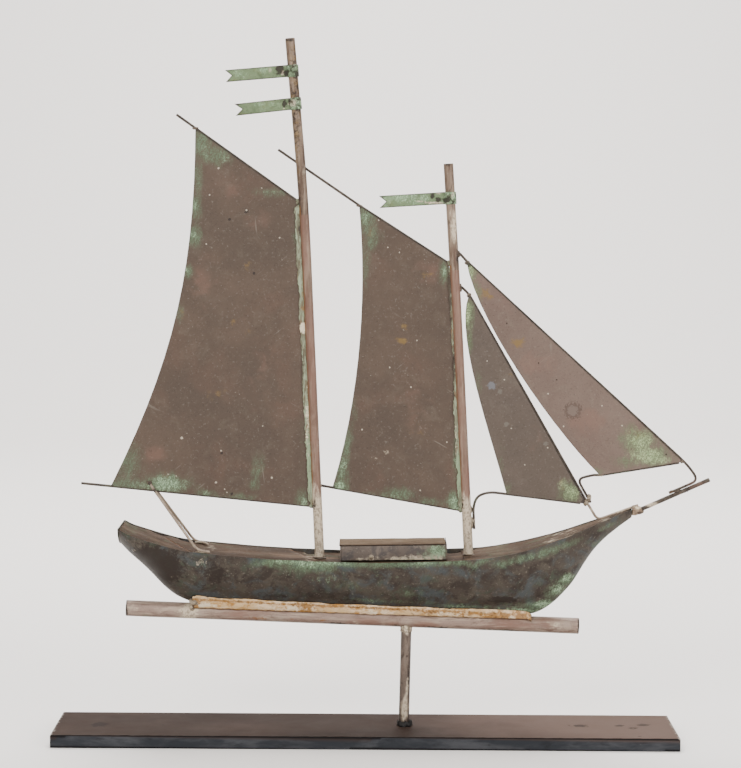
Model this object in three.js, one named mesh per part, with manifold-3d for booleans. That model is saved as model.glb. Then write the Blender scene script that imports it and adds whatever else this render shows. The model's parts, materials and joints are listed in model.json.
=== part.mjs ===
// Schooner weather vane on a museum stand.
//
// A copper schooner, soldered to a length of copper pipe that serves as its keel, turns freely
// on an upright steel spindle welded to a flat steel bar.
// Millimetres and degrees. +X points to the bow, +Y to port, +Z up.
// The origin is on the underside of the base bar, on the axis of the spindle.

import * as THREE from 'three';
import { mergeVertices } from 'three/addons/utils/BufferGeometryUtils.js';
import Module from 'manifold-3d';

// ---------------------------------------------------------------- driving dimensions

const GAP = 0.3;                 // clearance left wherever two pieces touch or are soldered
const SHEET = 0.8;               // thickness of all copper sheet
const WIRE_RADIUS = 1.3;

const BAR = { length: 620, width: 101.6, thick: 12.7, centreX: -39.5, edge: 0.5 };
const SPINDLE_RADIUS = 3;
const WELD = { radius: 8.6, height: 5.2, shelf: 2.2, teeth: 28, uneven: 1.7, crest: 0.7 };
const WELD_CLEARANCE = 1.3;      // the socket turns inside the ring of weld with this much room
const PIVOT_HEIGHT = 120.9;      // centre line of the keel pipe, on the axis, above the floor
const BOW_DOWN = 1.94;           // the vane hangs this far bow down on its spindle

// Everything that turns is measured from the middle of the keel pipe, over the spindle.
const PIPE = { aft: -279.5, fore: 173.5, radius: 7.95, wall: 1.0 };
const SOCKET = { radius: 5.25, bore: 4.4, topX: 1.0, footX: 2.7, footZ: -105.0 };
const SOCKET_REACH = 20;         // nothing that is fitted to the keel pipe here stands further out
const COLLAR = { radius: 5.9, lip: 0.4, height: 4.4, shoulder: 3.1, flare: 0.9, top: -4.8 };

// Lines of the hull, as [x, value] pairs.
const SHEER_HEIGHT = [
  [-287, 84.2], [-280, 80], [-272, 77.7], [-245, 70.3], [-225, 66.4], [-200, 64.1], [-120, 61],
  [-60, 61], [0, 63.4], [60, 68], [100, 75], [130, 83.5], [160, 94.5], [190, 107.5], [222, 120.5],
];
const KEEL_HEIGHT = [
  [-289, 68.5], [-283, 60.5], [-271, 50.5], [-256, 38], [-245.5, 26.8], [-235, 18], [-225, 12.5],
  [-214, 9.3], [-200, 8.3], [-185, 8.3], [105, 8.3], [116, 8.5], [126, 10.3], [138, 16], [149, 25.5],
  [159, 36.5], [166, 45.5], [174, 60.5], [182, 74], [193, 88], [207, 100.5], [222, 112.5],
];
const HALF_BREADTH = [
  [-289, 31], [-280, 33.5], [-245, 37], [-200, 39.5], [-120, 40], [-20, 40],
  [60, 39.5], [100, 36.5], [140, 29.5], [170, 21], [200, 11], [222, 3.4],
];
const SECTION_FULLNESS = 1.5;    // 2 is an ellipse, less is more like a V
const HULL = { aft: -286.6, fore: 221 };
const HULL_SECTIONS = [[-286.6, -215, 9], [-190, 60, 5], [70, 221, 19]];  // close together at the ends
const KEEL_SOLDER = {
  aft: -213, rise: 110, fore: 125, inner: 4.1, lipY: 8.7, offPipe: 0.4, offHull: 0.5,
};
const KEEL_SOLDER_LIP = [[-213, 2.7], [-20, 3.6], [125, 6]];  // [x, height of its lower edge]
const KEEL_SOLDER_WAVER = { by: 0.7, pace: 9 };
const KEEL_SOLDER_REACH = [[-213, 15.4], [60, 12.4], [100, 11.4], [112, 10], [125, 7.4]];
const BOW_SOLDER = { x: 224.5, z: 118.8, length: 8, breadth: 4.4, height: 5 };

// Deck plates: [starboard x, port x] of both ends, and how deep each end lies under the gunwale.
const DECK_PLATES = [
  { name: 'stern_deck', aft: [-286.3, -286.3], fore: [-212.5, -254], drop: [0.7, 0.7] },
  { name: 'quarter_deck', aft: [-212, -253.5], fore: [-89, -120], drop: [0.8, 0.8] },
  { name: 'waist_deck', aft: [-93, -124], fore: [59, 58], drop: [3, 1.9] },
  { name: 'fore_deck', aft: [55, 54], fore: [219, 219], drop: [0.7, 0.7], rows: 16 },
];

// Deckhouse: a box with an open underside, standing parallel to the deck.
const HOUSE = { aft: -67.5, fore: 38.3, aftZ: 59.7, foreZ: 65.2, half: 20.6, height: 15.4, lip: 0.8 };
const HOUSE_FORE_END = { lip: 0.5, below: 0.4, above: 0.3 };  // this end stands proud of the box

// Masts, as [x, z] on the centre line from the foot up.
const MAST = { radius: 4.75, wall: 0.9, bend: 60 };
const PENNANT_CLEARANCE = 0.42;
const MAINMAST = [[-88.3, 59.4], [-117.3, 412], [-137.2, 571]];
const FOREMAST = [[60.2, 67.9], [37.2, 318], [23.2, 455.1]];
const PENNANTS = [
  { name: 'main_pennant_upper', mast: MAINMAST, z: 539.8, length: 66.3, notch: 60, height: 11.7 },
  { name: 'main_pennant_lower', mast: MAINMAST, z: 508, length: 60, notch: 52.6, height: 11.6, droop: 1.5 },
  { name: 'fore_pennant', mast: FOREMAST, z: 421.8, length: 70.4, notch: 63.3, height: 11.9 },
];

// Corners of the sails, as [x, z], and the two points that bend each leech.
const MAINSAIL = {
  corners: [[-226.7, 479.2], [-123.3, 411.5], [-97.6, 109.8], [-298.8, 122]],
  leech: [[-238, 255], [-223, 345]],
};
const FORESAIL = {
  corners: [[-62.8, 410], [28, 356.7], [51, 111.6], [-78.4, 128.8]],
  leech: [[-51.5, 232], [-53, 335]],
};
const STAYSAIL = {
  corners: [[49.2, 327], [175.2, 123.3], [95.3, 129.8]],
  leech: [[75, 195], [36, 288]],
};
const JIB = {
  corners: [[45.2, 359.9], [269.8, 169.4], [187.2, 152.6]],
  leech: [[138, 197], [56, 305]],
};
const FORESAIL_SWING = { toPort: 1.7, aboutX: 38 };
const LUFF_SOLDER = { width: 5.2, thick: 1, low: 5, high: 9, taper: 4 };
const BEHIND_SHEET = SHEET / 2 + GAP + WIRE_RADIUS;  // middle of a wire soldered to a sail's port face

// Spars and stays, as [x, z] or [x, z, y] from end to end.
const MAIN_GAFF = [[-246, 492.3], [-124.2, 412.7]];
const MAIN_BOOM = [[-328.6, 123.6], [-98, 109.9]];
const FORE_GAFF = [[-145.1, 462.1], [-62.5, 410.3], [27.4, 357.4]];
const FORE_BOOM = [[-91, 130.6], [50.3, 111.7]];
const BOWSPRIT = { radius: 2.1, foot: [224.5, 117.4], tip: [296.7, 152.6] };
const FORESTAY = [
  [38.2, 367.4], [45.2, 360.2], [270.3, 169.8], [278.6, 161.2], [285.4, 151.3, 0], [257, 137.5, 0],
];
const INNER_FORESTAY_UPPER = [[41.6, 334.2], [49.2, 327.6], [174.7, 126.7]];
const INNER_FORESTAY_LOWER = [[175.3, 125.6], [187, 107.8, 0], [227, 124.2, 0]];
const JIB_FOOT_WIRE = [[266, 168.1], [187.4, 152.3], [182, 152.6], [165.1, 147.9], [179.7, 124.5]];
const STAYSAIL_FOOT_WIRE = [
  [169.5, 123.7], [89, 130.3], [79, 131.2, 1], [66.5, 127.5, 0], [62.7, 117, 0], [64.7, 93.5, 0],
];
const MAINSHEET_STARBOARD = [[-261, 127.7, -2.1], [-208.2, 66.9, -36.3], [-196, 65.7, -36.5]];
const MAINSHEET_PORT = [[-254.8, 120.4, 5], [-216.8, 66.2, 34], [-201, 65.3, 14]];

const FINISH = {
  bar: { color: 0x4a4543, metalness: 0.7, roughness: 0.5 },
  weld: { color: 0x1c1a19, metalness: 0.4, roughness: 0.85 },
  spindle: { color: 0x8c8781, metalness: 0.9, roughness: 0.35 },
  pipe: { color: 0x9a817a, metalness: 0.7, roughness: 0.45 },
  mast: { color: 0x8d7468, metalness: 0.7, roughness: 0.5 },
  sail: { color: 0x6e6058, metalness: 0.6, roughness: 0.6 },
  hull: { color: 0x3c3834, metalness: 0.6, roughness: 0.6 },
  deck: { color: 0x8c7460, metalness: 0.6, roughness: 0.6 },
  house: { color: 0x655c56, metalness: 0.6, roughness: 0.6 },
  pennant: { color: 0x8aa88c, metalness: 0.2, roughness: 0.85 },
  wire: { color: 0x6f6259, metalness: 0.7, roughness: 0.55 },
  solder: { color: 0xb9a78c, metalness: 0.5, roughness: 0.75 },
  verdigris: { color: 0x93a98c, metalness: 0.2, roughness: 0.9 },
};

// ---------------------------------------------------------------- geometry tools

const radians = THREE.MathUtils.degToRad;
const lerp = THREE.MathUtils.lerp;
const point = ([x, z, y], side = 0) => new THREE.Vector3(x, y ?? side, z);

/** Evenly spaced numbers from a to b, ends included. */
const steps = (a, b, count) => Array.from({ length: count + 1 }, (_, i) => lerp(a, b, i / count));

/** A smooth function of x through [x, value] pairs. */
function fair(pairs) {
  const last = pairs.length - 1;
  const slope = pairs.map((_, i) => {
    const [a, b] = [pairs[Math.max(i - 1, 0)], pairs[Math.min(i + 1, last)]];
    return (b[1] - a[1]) / (b[0] - a[0]);
  });
  return (x) => {
    const i = THREE.MathUtils.clamp(pairs.filter((pair) => pair[0] <= x).length - 1, 0, last - 1);
    const span = pairs[i + 1][0] - pairs[i][0];
    const t = THREE.MathUtils.clamp((x - pairs[i][0]) / span, 0, 1);
    const s = 1 - t;
    return pairs[i][1] * s * s * (1 + 2 * t) + slope[i] * span * t * s * s
      + pairs[i + 1][1] * t * t * (3 - 2 * t) - slope[i + 1] * span * t * t * s;
  };
}

/** A closed body from points and triangles, turned so that its faces look outwards. */
function body(points, triangles) {
  let volume = 0;
  for (const [a, b, c] of triangles) {
    volume += points[a].dot(new THREE.Vector3().crossVectors(points[b], points[c]));
  }
  const outward = volume > 0 ? triangles : triangles.map(([a, b, c]) => [a, c, b]);
  const geometry = new THREE.BufferGeometry().setFromPoints(points);
  geometry.setIndex(outward.flat());
  return geometry;
}

/** Side faces between neighbouring rings of points; a closed row of rings joins up with itself. */
function sides(count, rings, closed) {
  const triangles = [];
  for (let r = 0; r < (closed ? rings : rings - 1); r += 1) {
    for (let i = 0; i < count; i += 1) {
      const here = r * count + i;
      const beside = r * count + (i + 1) % count;
      const ahead = (here + count) % (rings * count);
      const across = (beside + count) % (rings * count);
      triangles.push([here, beside, ahead], [beside, across, ahead]);
    }
  }
  return triangles;
}

/** A body through equal rings of points, its ends closed by fans. */
function loft(rings) {
  const count = rings[0].length;
  const points = rings.flat();
  const triangles = sides(count, rings.length, false);
  for (const end of [0, rings.length - 1]) {
    const hub = points.length;
    const middle = new THREE.Vector3();
    rings[end].forEach((p) => middle.addScaledVector(p, 1 / count));
    points.push(middle);
    for (let i = 0; i < count; i += 1) {
      const edge = [end * count + i, end * count + (i + 1) % count];
      triangles.push(end ? [...edge, hub] : [...edge.reverse(), hub]);
    }
  }
  return body(points, triangles);
}

/** A thin body through rings that each run out along one face and back along the other. */
function loftSheet(rings) {
  const count = rings[0].length;
  const triangles = sides(count, rings.length, false);
  for (const end of [0, rings.length - 1]) {
    for (let i = 0; i + 1 < count / 2; i += 1) {
      const [a, b] = [end * count + i, end * count + i + 1];
      const [c, d] = [end * count + count - 2 - i, end * count + count - 1 - i];
      triangles.push(...(end ? [[a, b, c], [a, c, d]] : [[a, c, b], [a, d, c]]));
    }
  }
  return body(rings.flat(), triangles);
}

const wasm = await Module();
wasm.setup();

function solid(geometry) {
  const bare = geometry.clone();
  bare.deleteAttribute('normal');
  bare.deleteAttribute('uv');
  const merged = mergeVertices(bare, 1e-4);
  return new wasm.Manifold(new wasm.Mesh({
    numProp: 3,
    vertProperties: new Float32Array(merged.attributes.position.array),
    triVerts: new Uint32Array(merged.index.array),
  }));
}

/** The first geometry with all the others cut out of it. */
function cut(geometry, ...tools) {
  const left = tools.reduce((whole, tool) => whole.subtract(solid(tool)), solid(geometry)).getMesh();
  const result = new THREE.BufferGeometry();
  result.setAttribute('position', new THREE.Float32BufferAttribute(left.vertProperties, 3));
  result.setIndex(Array.from(left.triVerts));
  return result;
}

function disc(radius, bore = 0) {
  const shape = new THREE.Shape().absarc(0, 0, radius, 0, 2 * Math.PI);
  if (bore) shape.holes.push(new THREE.Path().absarc(0, 0, bore, 0, 2 * Math.PI));
  return shape;
}

/** A path through points: straight, with each corner rounded in a few short turns. */
class BentPath extends THREE.Curve {
  constructor(points, bend, turns) {
    super();
    this.stations = [points[0]];
    points.slice(1, -1).forEach((corner, i) => {
      const [last, next] = [points[i], points[i + 2]];
      const back = Math.min(bend, corner.distanceTo(last) * 0.48, corner.distanceTo(next) * 0.48);
      const [start, end] = [last, next].map((p) => p.clone().sub(corner).setLength(back).add(corner));
      this.stations.push(...new THREE.QuadraticBezierCurve3(start, corner, end).getPoints(turns));
    });
    this.stations.push(points[points.length - 1]);
  }

  get count() {
    return this.stations.length - 1;
  }

  getPoint(t) {
    const i = Math.min(Math.floor(t * this.count), this.count - 1);
    return this.stations[i].clone().lerp(this.stations[i + 1], t * this.count - i);
  }

  /** Keeps the rings of a swept body on the stations, however far apart they are. */
  getPointAt(u) {
    return this.getPoint(u);
  }

  getTangentAt(u) {
    return this.getTangent(u);
  }
}

/** A rod or tube along a path of points. */
function rod(points, { radius = WIRE_RADIUS, bore = 0, bend = 6, turns = 5, facets = 10 } = {}) {
  const path = new BentPath(points, bend, turns);
  return new THREE.ExtrudeGeometry(disc(radius, bore), {
    extrudePath: path, steps: path.count, bevelEnabled: false, curveSegments: facets / 2,
  });
}

/** A flat sheet standing fore and aft, from an outline drawn in x and z. */
function uprightSheet(outline, thick = SHEET) {
  const settings = { depth: thick, bevelEnabled: false, curveSegments: 14 };
  const geometry = new THREE.ExtrudeGeometry(outline, settings);
  return geometry.translate(0, 0, -thick / 2).rotateX(Math.PI / 2);
}

function lathed(profile, facets) {
  return new THREE.LatheGeometry(profile, facets).rotateX(Math.PI / 2);
}

function mesh(name, geometry, finish) {
  const made = new THREE.Mesh(geometry, new THREE.MeshStandardMaterial(FINISH[finish]));
  made.name = name;
  return made;
}

// ---------------------------------------------------------------- stand

function baseBar() {
  const { length, width, thick, centreX, edge } = BAR;
  const [x, y] = [length / 2 - edge, width / 2 - edge];
  const corners = [[-x, -y], [x, -y], [x, y], [-x, y]].map((c) => new THREE.Vector2(...c));
  const geometry = new THREE.ExtrudeGeometry(new THREE.Shape(corners), {
    depth: thick - 2 * edge, bevelThickness: edge, bevelSize: edge, bevelSegments: 1,
  });
  return mesh('base_bar', geometry.translate(centreX, 0, edge), 'bar');
}

/** The spindle's round tip carries the keel pipe from inside. */
function spindle() {
  const foot = BAR.thick + GAP;
  const shoulder = PIVOT_HEIGHT + PIPE.radius - PIPE.wall - GAP - SPINDLE_RADIUS;
  const profile = new THREE.Path()
    .moveTo(0, foot)
    .lineTo(SPINDLE_RADIUS, foot)
    .lineTo(SPINDLE_RADIUS, shoulder)
    .absarc(0, shoulder, SPINDLE_RADIUS, 0, Math.PI / 2);
  return mesh('spindle', lathed(profile.getPoints(5), 20), 'spindle');
}

/** A ragged ring of weld round the foot of the spindle, with teeth that stand outside the socket. */
function spindleWeld() {
  const { radius, height, shelf, teeth, uneven, crest: slope } = WELD;
  const inside = SPINDLE_RADIUS + GAP;
  const cup = SOCKET.radius + WELD_CLEARANCE;
  const rings = steps(0, 2 * Math.PI, teeth).slice(1).map((turn) => {
    // between 0, where the weld is lowest, and 1
    const ragged = 0.5 + 0.3 * Math.sin(5 * turn) + 0.2 * Math.sin(11 * turn + 1);
    const outside = radius - uneven * (1 - ragged);
    const crest = height - uneven * (1 - ragged);
    const profile = [
      [inside, 0], [outside, 0], [outside - slope, crest], [cup, crest], [cup, shelf], [inside, shelf],
    ];
    return profile.map(([r, z]) => (
      new THREE.Vector3(r * Math.cos(turn), r * Math.sin(turn), BAR.thick + GAP + z)
    ));
  });
  const triangles = sides(rings[0].length, rings.length, true);
  return mesh('spindle_weld', body(rings.flat(), triangles), 'weld');
}

// ---------------------------------------------------------------- keel pipe and socket

const pipeRod = (radius, bore, aft, fore) => (
  rod([point([aft, 0]), point([fore, 0])], { radius, bore, facets: 32 })
);
const pipeRoom = () => pipeRod(PIPE.radius + GAP, 0, -SOCKET_REACH, SOCKET_REACH);

/** The pipe has a hole in its underside for the upright spindle to pass through. */
function keelPipe() {
  const { aft, fore, radius, wall } = PIPE;
  const depth = 2 * PIPE.radius;
  const hole = new THREE.CylinderGeometry(SOCKET.bore, SOCKET.bore, depth, 24).rotateX(Math.PI / 2);
  hole.translate(0, 0, -depth / 2).rotateY(-radians(BOW_DOWN));
  return mesh('keel_pipe', cut(pipeRod(radius, radius - wall, aft, fore), hole), 'pipe');
}

function socketTube() {
  const { radius, bore, topX, footX, footZ } = SOCKET;
  const tube = rod([point([footX, footZ]), point([topX, 0])], { radius, bore, facets: 28 });
  return mesh('socket_tube', cut(tube, pipeRoom()), 'pipe');
}

function socketSolder() {
  const inside = SOCKET.radius + GAP;
  const { radius, lip, height, shoulder, flare, top } = COLLAR;
  const bottom = -PIPE.radius - height;
  const profile = [
    [inside, bottom], [inside + lip, bottom], [radius, bottom + shoulder], [radius + flare, top],
    [inside, top], [inside, bottom],
  ];
  const ring = lathed(profile.map((p) => new THREE.Vector2(...p)), 24);
  const lean = Math.atan2(SOCKET.footX - SOCKET.topX, -SOCKET.footZ);
  ring.rotateY(-lean).translate(SOCKET.topX, 0, 0);
  return mesh('socket_solder', cut(ring, pipeRoom()), 'solder');
}

// ---------------------------------------------------------------- hull

const sheer = fair(SHEER_HEIGHT);
const keel = fair(KEEL_HEIGHT);
const halfBreadth = fair(HALF_BREADTH);
const rounded = (share) => Math.max(1 - share ** SECTION_FULLNESS, 0) ** (1 / SECTION_FULLNESS);

/** Half breadth of the hull's outside at some depth under the gunwale. */
const breadthAt = (x, depth) => halfBreadth(x) * rounded(Math.min(depth / (sheer(x) - keel(x)), 1));

/** Height of the hull's bottom at some distance from the middle. */
const bottomAt = (x, y) => sheer(x) - (sheer(x) - keel(x)) * rounded(y / halfBreadth(x));

/** Outside of one half section at x, from the gunwale down to the keel, in y and z. */
function halfSection(x) {
  const power = 2 / SECTION_FULLNESS;
  return steps(0, Math.PI / 2, 9).map((turn) => new THREE.Vector2(
    halfBreadth(x) * Math.max(Math.cos(turn), 0) ** power,
    sheer(x) - (sheer(x) - keel(x)) * Math.sin(turn) ** power,
  ));
}

/** The same line moved in by the thickness of the sheet. */
function insideOf(outline) {
  return outline.map((p, i) => {
    const along = outline[Math.min(i + 1, outline.length - 1)].clone().sub(outline[Math.max(i - 1, 0)]);
    along.setLength(SHEET);
    return new THREE.Vector2(p.x + along.y, i ? p.y - along.x : p.y);
  });
}

/** One hammered half of the hull; side is -1 for starboard and 1 for port. */
function hullShell(name, side) {
  const rings = HULL_SECTIONS.flatMap((run) => steps(...run)).map((x) => {
    const outside = halfSection(x);
    return [...outside, ...insideOf(outside).reverse()].map((p) => (
      new THREE.Vector3(x, side * Math.max(p.x, GAP / 2), p.y)
    ));
  });
  return mesh(name, loftSheet(rings), 'hull');
}

function transom() {
  const half = halfSection(HULL.aft);
  const outline = [...half, ...half.slice(0, -1).reverse().map((p) => new THREE.Vector2(-p.x, p.y))];
  const ring = (x) => outline.map((p) => new THREE.Vector3(x, p.x, p.y));
  return mesh('transom', loft([ring(HULL.aft - GAP - SHEET), ring(HULL.aft - GAP)]), 'hull');
}

/** A plate let in between the shells, under the gunwale; its ends are [starboard x, port x]. */
function deckPlate({ name, aft, fore, drop, rows = 10 }) {
  const rings = steps(0, 1, rows).map((share) => {
    const row = (under) => steps(-1, 1, 4).map((v) => {
      const x = lerp(lerp(...aft, (v + 1) / 2), lerp(...fore, (v + 1) / 2), share);
      const room = breadthAt(x, Math.max(...drop) + SHEET) - SHEET - 3 * GAP;
      return new THREE.Vector3(x, v * room, sheer(x) - lerp(...drop, share) - under);
    });
    return [...row(0), ...row(SHEET).reverse()];
  });
  return mesh(name, loftSheet(rings), 'deck');
}

/** Solder filling the angle between the hull's bottom and the keel pipe. */
function keelSolder(name, side) {
  const { aft, rise, fore, inner, lipY, offPipe, offHull } = KEEL_SOLDER;
  const { by, pace } = KEEL_SOLDER_WAVER;
  const reach = fair(KEEL_SOLDER_REACH);
  const lip = fair(KEEL_SOLDER_LIP);
  const room = PIPE.radius + offPipe;
  const highest = Math.acos(inner / room);
  const rings = [...steps(aft, rise, 21), ...steps(rise, fore, 3).slice(1)].map((x) => {
    const lowest = Math.asin(lip(x) / room);
    const round = steps(highest, lowest, 4).map((turn) => [room * Math.cos(turn), room * Math.sin(turn)]);
    const widest = reach(x) + by * Math.sin(x / pace);
    const along = steps(widest, inner, 4).map((y) => [y, bottomAt(x, y) - offHull]);
    return [[lipY, lip(x)], ...along, ...round].map(([y, z]) => new THREE.Vector3(x, side * y, z));
  });
  return mesh(name, loft(rings), 'solder');
}

/** A lump of solder that closes the bow, with the bowsprit and the foot of a stay sunk into it. */
function bowSolder() {
  const { x, z, length, breadth, height } = BOW_SOLDER;
  const lump = new THREE.SphereGeometry(1, 20, 14).scale(length, breadth, height).translate(x, 0, z);
  const size = 3 * length;
  const hullRoom = new THREE.BoxGeometry(size, size, size).translate(HULL.fore + GAP - size / 2, 0, z);
  const spritRoom = rod([point(BOWSPRIT.foot), point(BOWSPRIT.tip)].map((p, i) => (
    i ? p : p.add(new THREE.Vector3(-GAP, 0, -GAP / 2))
  )), { radius: BOWSPRIT.radius + GAP, facets: 16 });
  const [, corner, end] = INNER_FORESTAY_LOWER.map((p) => point(p));
  const beyond = end.clone().add(end.clone().sub(corner).setLength(GAP));
  const stayRoom = rod([corner, beyond], { radius: WIRE_RADIUS + GAP, facets: 16 });
  return mesh('bow_solder', cut(lump, hullRoom, spritRoom, stayRoom), 'solder');
}

// ---------------------------------------------------------------- deckhouse

function deckhouse() {
  const { aft, fore, aftZ, foreZ, half, height, lip } = HOUSE;
  const length = fore - aft;
  const under = height - SHEET - GAP;
  const [first, last] = [SHEET + GAP, length - SHEET - GAP];
  const { lip: foreLip, below, above } = HOUSE_FORE_END;
  const wide = half + foreLip;
  const panel = (name, [x0, x1], [y0, y1], [z0, z1]) => {
    const geometry = new THREE.BoxGeometry(x1 - x0, y1 - y0, z1 - z0);
    return mesh(name, geometry.translate((x0 + x1) / 2, (y0 + y1) / 2, (z0 + z1) / 2), 'house');
  };
  const house = new THREE.Group();
  house.add(
    panel('deckhouse_side_starboard', [first, last], [-half, SHEET - half], [0, under]),
    panel('deckhouse_side_port', [first, last], [half - SHEET, half], [0, under]),
    panel('deckhouse_end_aft', [0, SHEET], [-half, half], [-lip, under]),
    panel('deckhouse_end_fore', [length - SHEET, length], [-wide, wide], [-below, height + above]),
    panel('deckhouse_roof', [-lip, last], [-half - lip, half + lip], [under + GAP, height]),
  );
  house.position.set(aft, 0, aftZ);
  house.rotation.y = -Math.atan2(foreZ - aftZ, length);
  return house;
}

// ---------------------------------------------------------------- masts and pennants

function mast(name, line) {
  const { radius, wall, bend } = MAST;
  const settings = { radius, bore: radius - wall, bend, turns: 6, facets: 20 };
  return mesh(name, rod(line.map((p) => point(p)), settings), 'mast');
}

/** The straight stretch of a mast that passes height z: where it is there, and its slope. */
function mastAt(line, z) {
  const i = line.length > 2 && z > line[1][1] ? 1 : 0;
  const slope = (line[i + 1][0] - line[i][0]) / (line[i + 1][1] - line[i][1]);
  return { x: line[i][0] + slope * (z - line[i][1]), slope };
}

/** A swallow-tailed strip folded round a mast, its two leaves soldered flat together. */
function pennant({ name, mast: line, z, length, notch, height, droop = 0 }) {
  const inside = MAST.radius + PENNANT_CLEARANCE;
  const outside = inside + SHEET;
  const opening = Math.asin(SHEET / outside);
  const outline = new THREE.Shape().absarc(0, 0, outside, opening - Math.PI, Math.PI - opening);
  outline.lineTo(-length, SHEET);
  outline.lineTo(-length, -SHEET);
  outline.holes.push(new THREE.Path().absarc(0, 0, inside, 0, 2 * Math.PI));
  const strip = new THREE.ExtrudeGeometry(outline, { depth: height, bevelEnabled: false, curveSegments: 20 });
  const past = SHEET;
  const tail = [[-length - past, -height / 2 - past], [-notch, 0], [-length - past, height / 2 + past]];
  const wedge = uprightSheet(new THREE.Shape(tail.map((p) => new THREE.Vector2(...p))), 2 * inside);
  const flag = mesh(name, cut(strip.translate(0, 0, -height / 2), wedge), 'pennant');
  const { x, slope } = mastAt(line, z);
  flag.position.set(x, 0, z);
  flag.rotation.y = Math.atan(slope) - radians(droop);
  return flag;
}

// ---------------------------------------------------------------- sails, spars and stays

/** A sheet sail: straight from corner to corner, and a curved leech from the last to the first. */
function sail(name, { corners, leech }) {
  const outline = new THREE.Shape();
  corners.forEach((corner, i) => (i ? outline.lineTo(...corner) : outline.moveTo(...corner)));
  outline.bezierCurveTo(...leech[0], ...leech[1], ...corners[0]);
  return mesh(name, uprightSheet(outline), 'sail');
}

/** Solder down a sail's luff, on its starboard (-1) or port (1) face. */
function luffSolder(name, { corners }, side) {
  const { width, thick, low, high, taper } = LUFF_SOLDER;
  const [, throat, tack] = corners;
  const luffX = (z) => lerp(tack[0], throat[0], (z - tack[1]) / (throat[1] - tack[1]));
  const [bottom, top] = [tack[1] + low, throat[1] - high];
  const outline = [
    [luffX(bottom), bottom], [luffX(top), top], [luffX(top) - width, top - taper],
    [luffX(bottom) - width, bottom + taper],
  ];
  const strip = uprightSheet(new THREE.Shape(outline.map((p) => new THREE.Vector2(...p))), thick);
  return mesh(name, strip.translate(0, side * ((SHEET + thick) / 2 + GAP), 0), 'verdigris');
}

const wire = (name, line, settings) => (
  mesh(name, rod(line.map((p) => point(p, BEHIND_SHEET)), settings), 'wire')
);

/** The foresail, its spars and its solder, all swung a little to port about the foremast. */
function foresail() {
  const { toPort, aboutX } = FORESAIL_SWING;
  const swung = new THREE.Group();
  swung.add(
    sail('foresail', FORESAIL),
    luffSolder('foresail_luff_solder_starboard', FORESAIL, -1),
    luffSolder('foresail_luff_solder_port', FORESAIL, 1),
    wire('fore_gaff', FORE_GAFF),
    wire('fore_boom', FORE_BOOM),
  );
  swung.children.forEach((child) => child.geometry.translate(-aboutX, 0, 0));
  swung.position.x = aboutX;
  swung.rotation.z = -radians(toPort);
  return swung;
}

function rigging() {
  return [
    sail('mainsail', MAINSAIL),
    luffSolder('mainsail_luff_solder_starboard', MAINSAIL, -1),
    luffSolder('mainsail_luff_solder_port', MAINSAIL, 1),
    wire('main_gaff', MAIN_GAFF),
    wire('main_boom', MAIN_BOOM),
    foresail(),
    sail('staysail', STAYSAIL),
    sail('jib', JIB),
    mesh('bowsprit', rod([point(BOWSPRIT.foot), point(BOWSPRIT.tip)], {
      radius: BOWSPRIT.radius, facets: 12,
    }), 'wire'),
    wire('forestay', FORESTAY),
    wire('inner_forestay_upper', INNER_FORESTAY_UPPER),
    wire('inner_forestay_lower', INNER_FORESTAY_LOWER, { bend: 4 }),
    wire('jib_foot_wire', JIB_FOOT_WIRE),
    wire('staysail_foot_wire', STAYSAIL_FOOT_WIRE),
    wire('mainsheet_starboard', MAINSHEET_STARBOARD, { bend: 5 }),
    wire('mainsheet_port', MAINSHEET_PORT, { bend: 5 }),
  ];
}

// ---------------------------------------------------------------- assembly

const stand = new THREE.Group();
stand.add(baseBar(), spindle(), spindleWeld());

const vane = new THREE.Group();
vane.add(
  keelPipe(),
  socketTube(),
  socketSolder(),
  keelSolder('keel_solder_starboard', -1),
  keelSolder('keel_solder_port', 1),
  hullShell('hull_starboard_shell', -1),
  hullShell('hull_port_shell', 1),
  transom(),
  ...DECK_PLATES.map(deckPlate),
  deckhouse(),
  mast('mainmast', MAINMAST),
  mast('foremast', FOREMAST),
  ...PENNANTS.map(pennant),
  ...rigging(),
  bowSolder(),
);
vane.position.z = PIVOT_HEIGHT;
vane.rotation.y = radians(BOW_DOWN);

const weatherVane = new THREE.Group();
weatherVane.add(stand, vane);

export default weatherVane;
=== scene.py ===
import json
import math

import bmesh
import bpy
from mathutils import Matrix, Vector, noise
from mathutils.geometry import delaunay_2d_cdt


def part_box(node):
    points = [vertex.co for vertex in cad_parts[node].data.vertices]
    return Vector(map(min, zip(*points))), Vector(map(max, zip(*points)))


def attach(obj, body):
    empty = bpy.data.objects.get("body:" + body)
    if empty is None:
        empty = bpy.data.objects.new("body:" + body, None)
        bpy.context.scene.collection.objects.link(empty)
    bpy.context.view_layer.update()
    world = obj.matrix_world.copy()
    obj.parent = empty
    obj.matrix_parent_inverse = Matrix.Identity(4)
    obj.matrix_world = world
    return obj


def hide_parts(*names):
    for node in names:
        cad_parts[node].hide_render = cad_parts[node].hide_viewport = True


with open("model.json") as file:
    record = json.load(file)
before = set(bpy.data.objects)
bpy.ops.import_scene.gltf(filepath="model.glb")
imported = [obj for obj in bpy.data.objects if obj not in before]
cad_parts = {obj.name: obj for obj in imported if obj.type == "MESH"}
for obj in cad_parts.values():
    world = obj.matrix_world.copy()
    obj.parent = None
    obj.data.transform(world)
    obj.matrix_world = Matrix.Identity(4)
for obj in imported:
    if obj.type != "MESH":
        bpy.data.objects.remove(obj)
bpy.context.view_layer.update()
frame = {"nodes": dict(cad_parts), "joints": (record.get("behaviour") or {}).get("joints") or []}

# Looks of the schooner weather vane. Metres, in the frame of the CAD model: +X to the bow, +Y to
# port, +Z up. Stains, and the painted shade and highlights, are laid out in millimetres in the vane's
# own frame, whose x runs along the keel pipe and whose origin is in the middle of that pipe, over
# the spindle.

MM = 0.001
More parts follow.
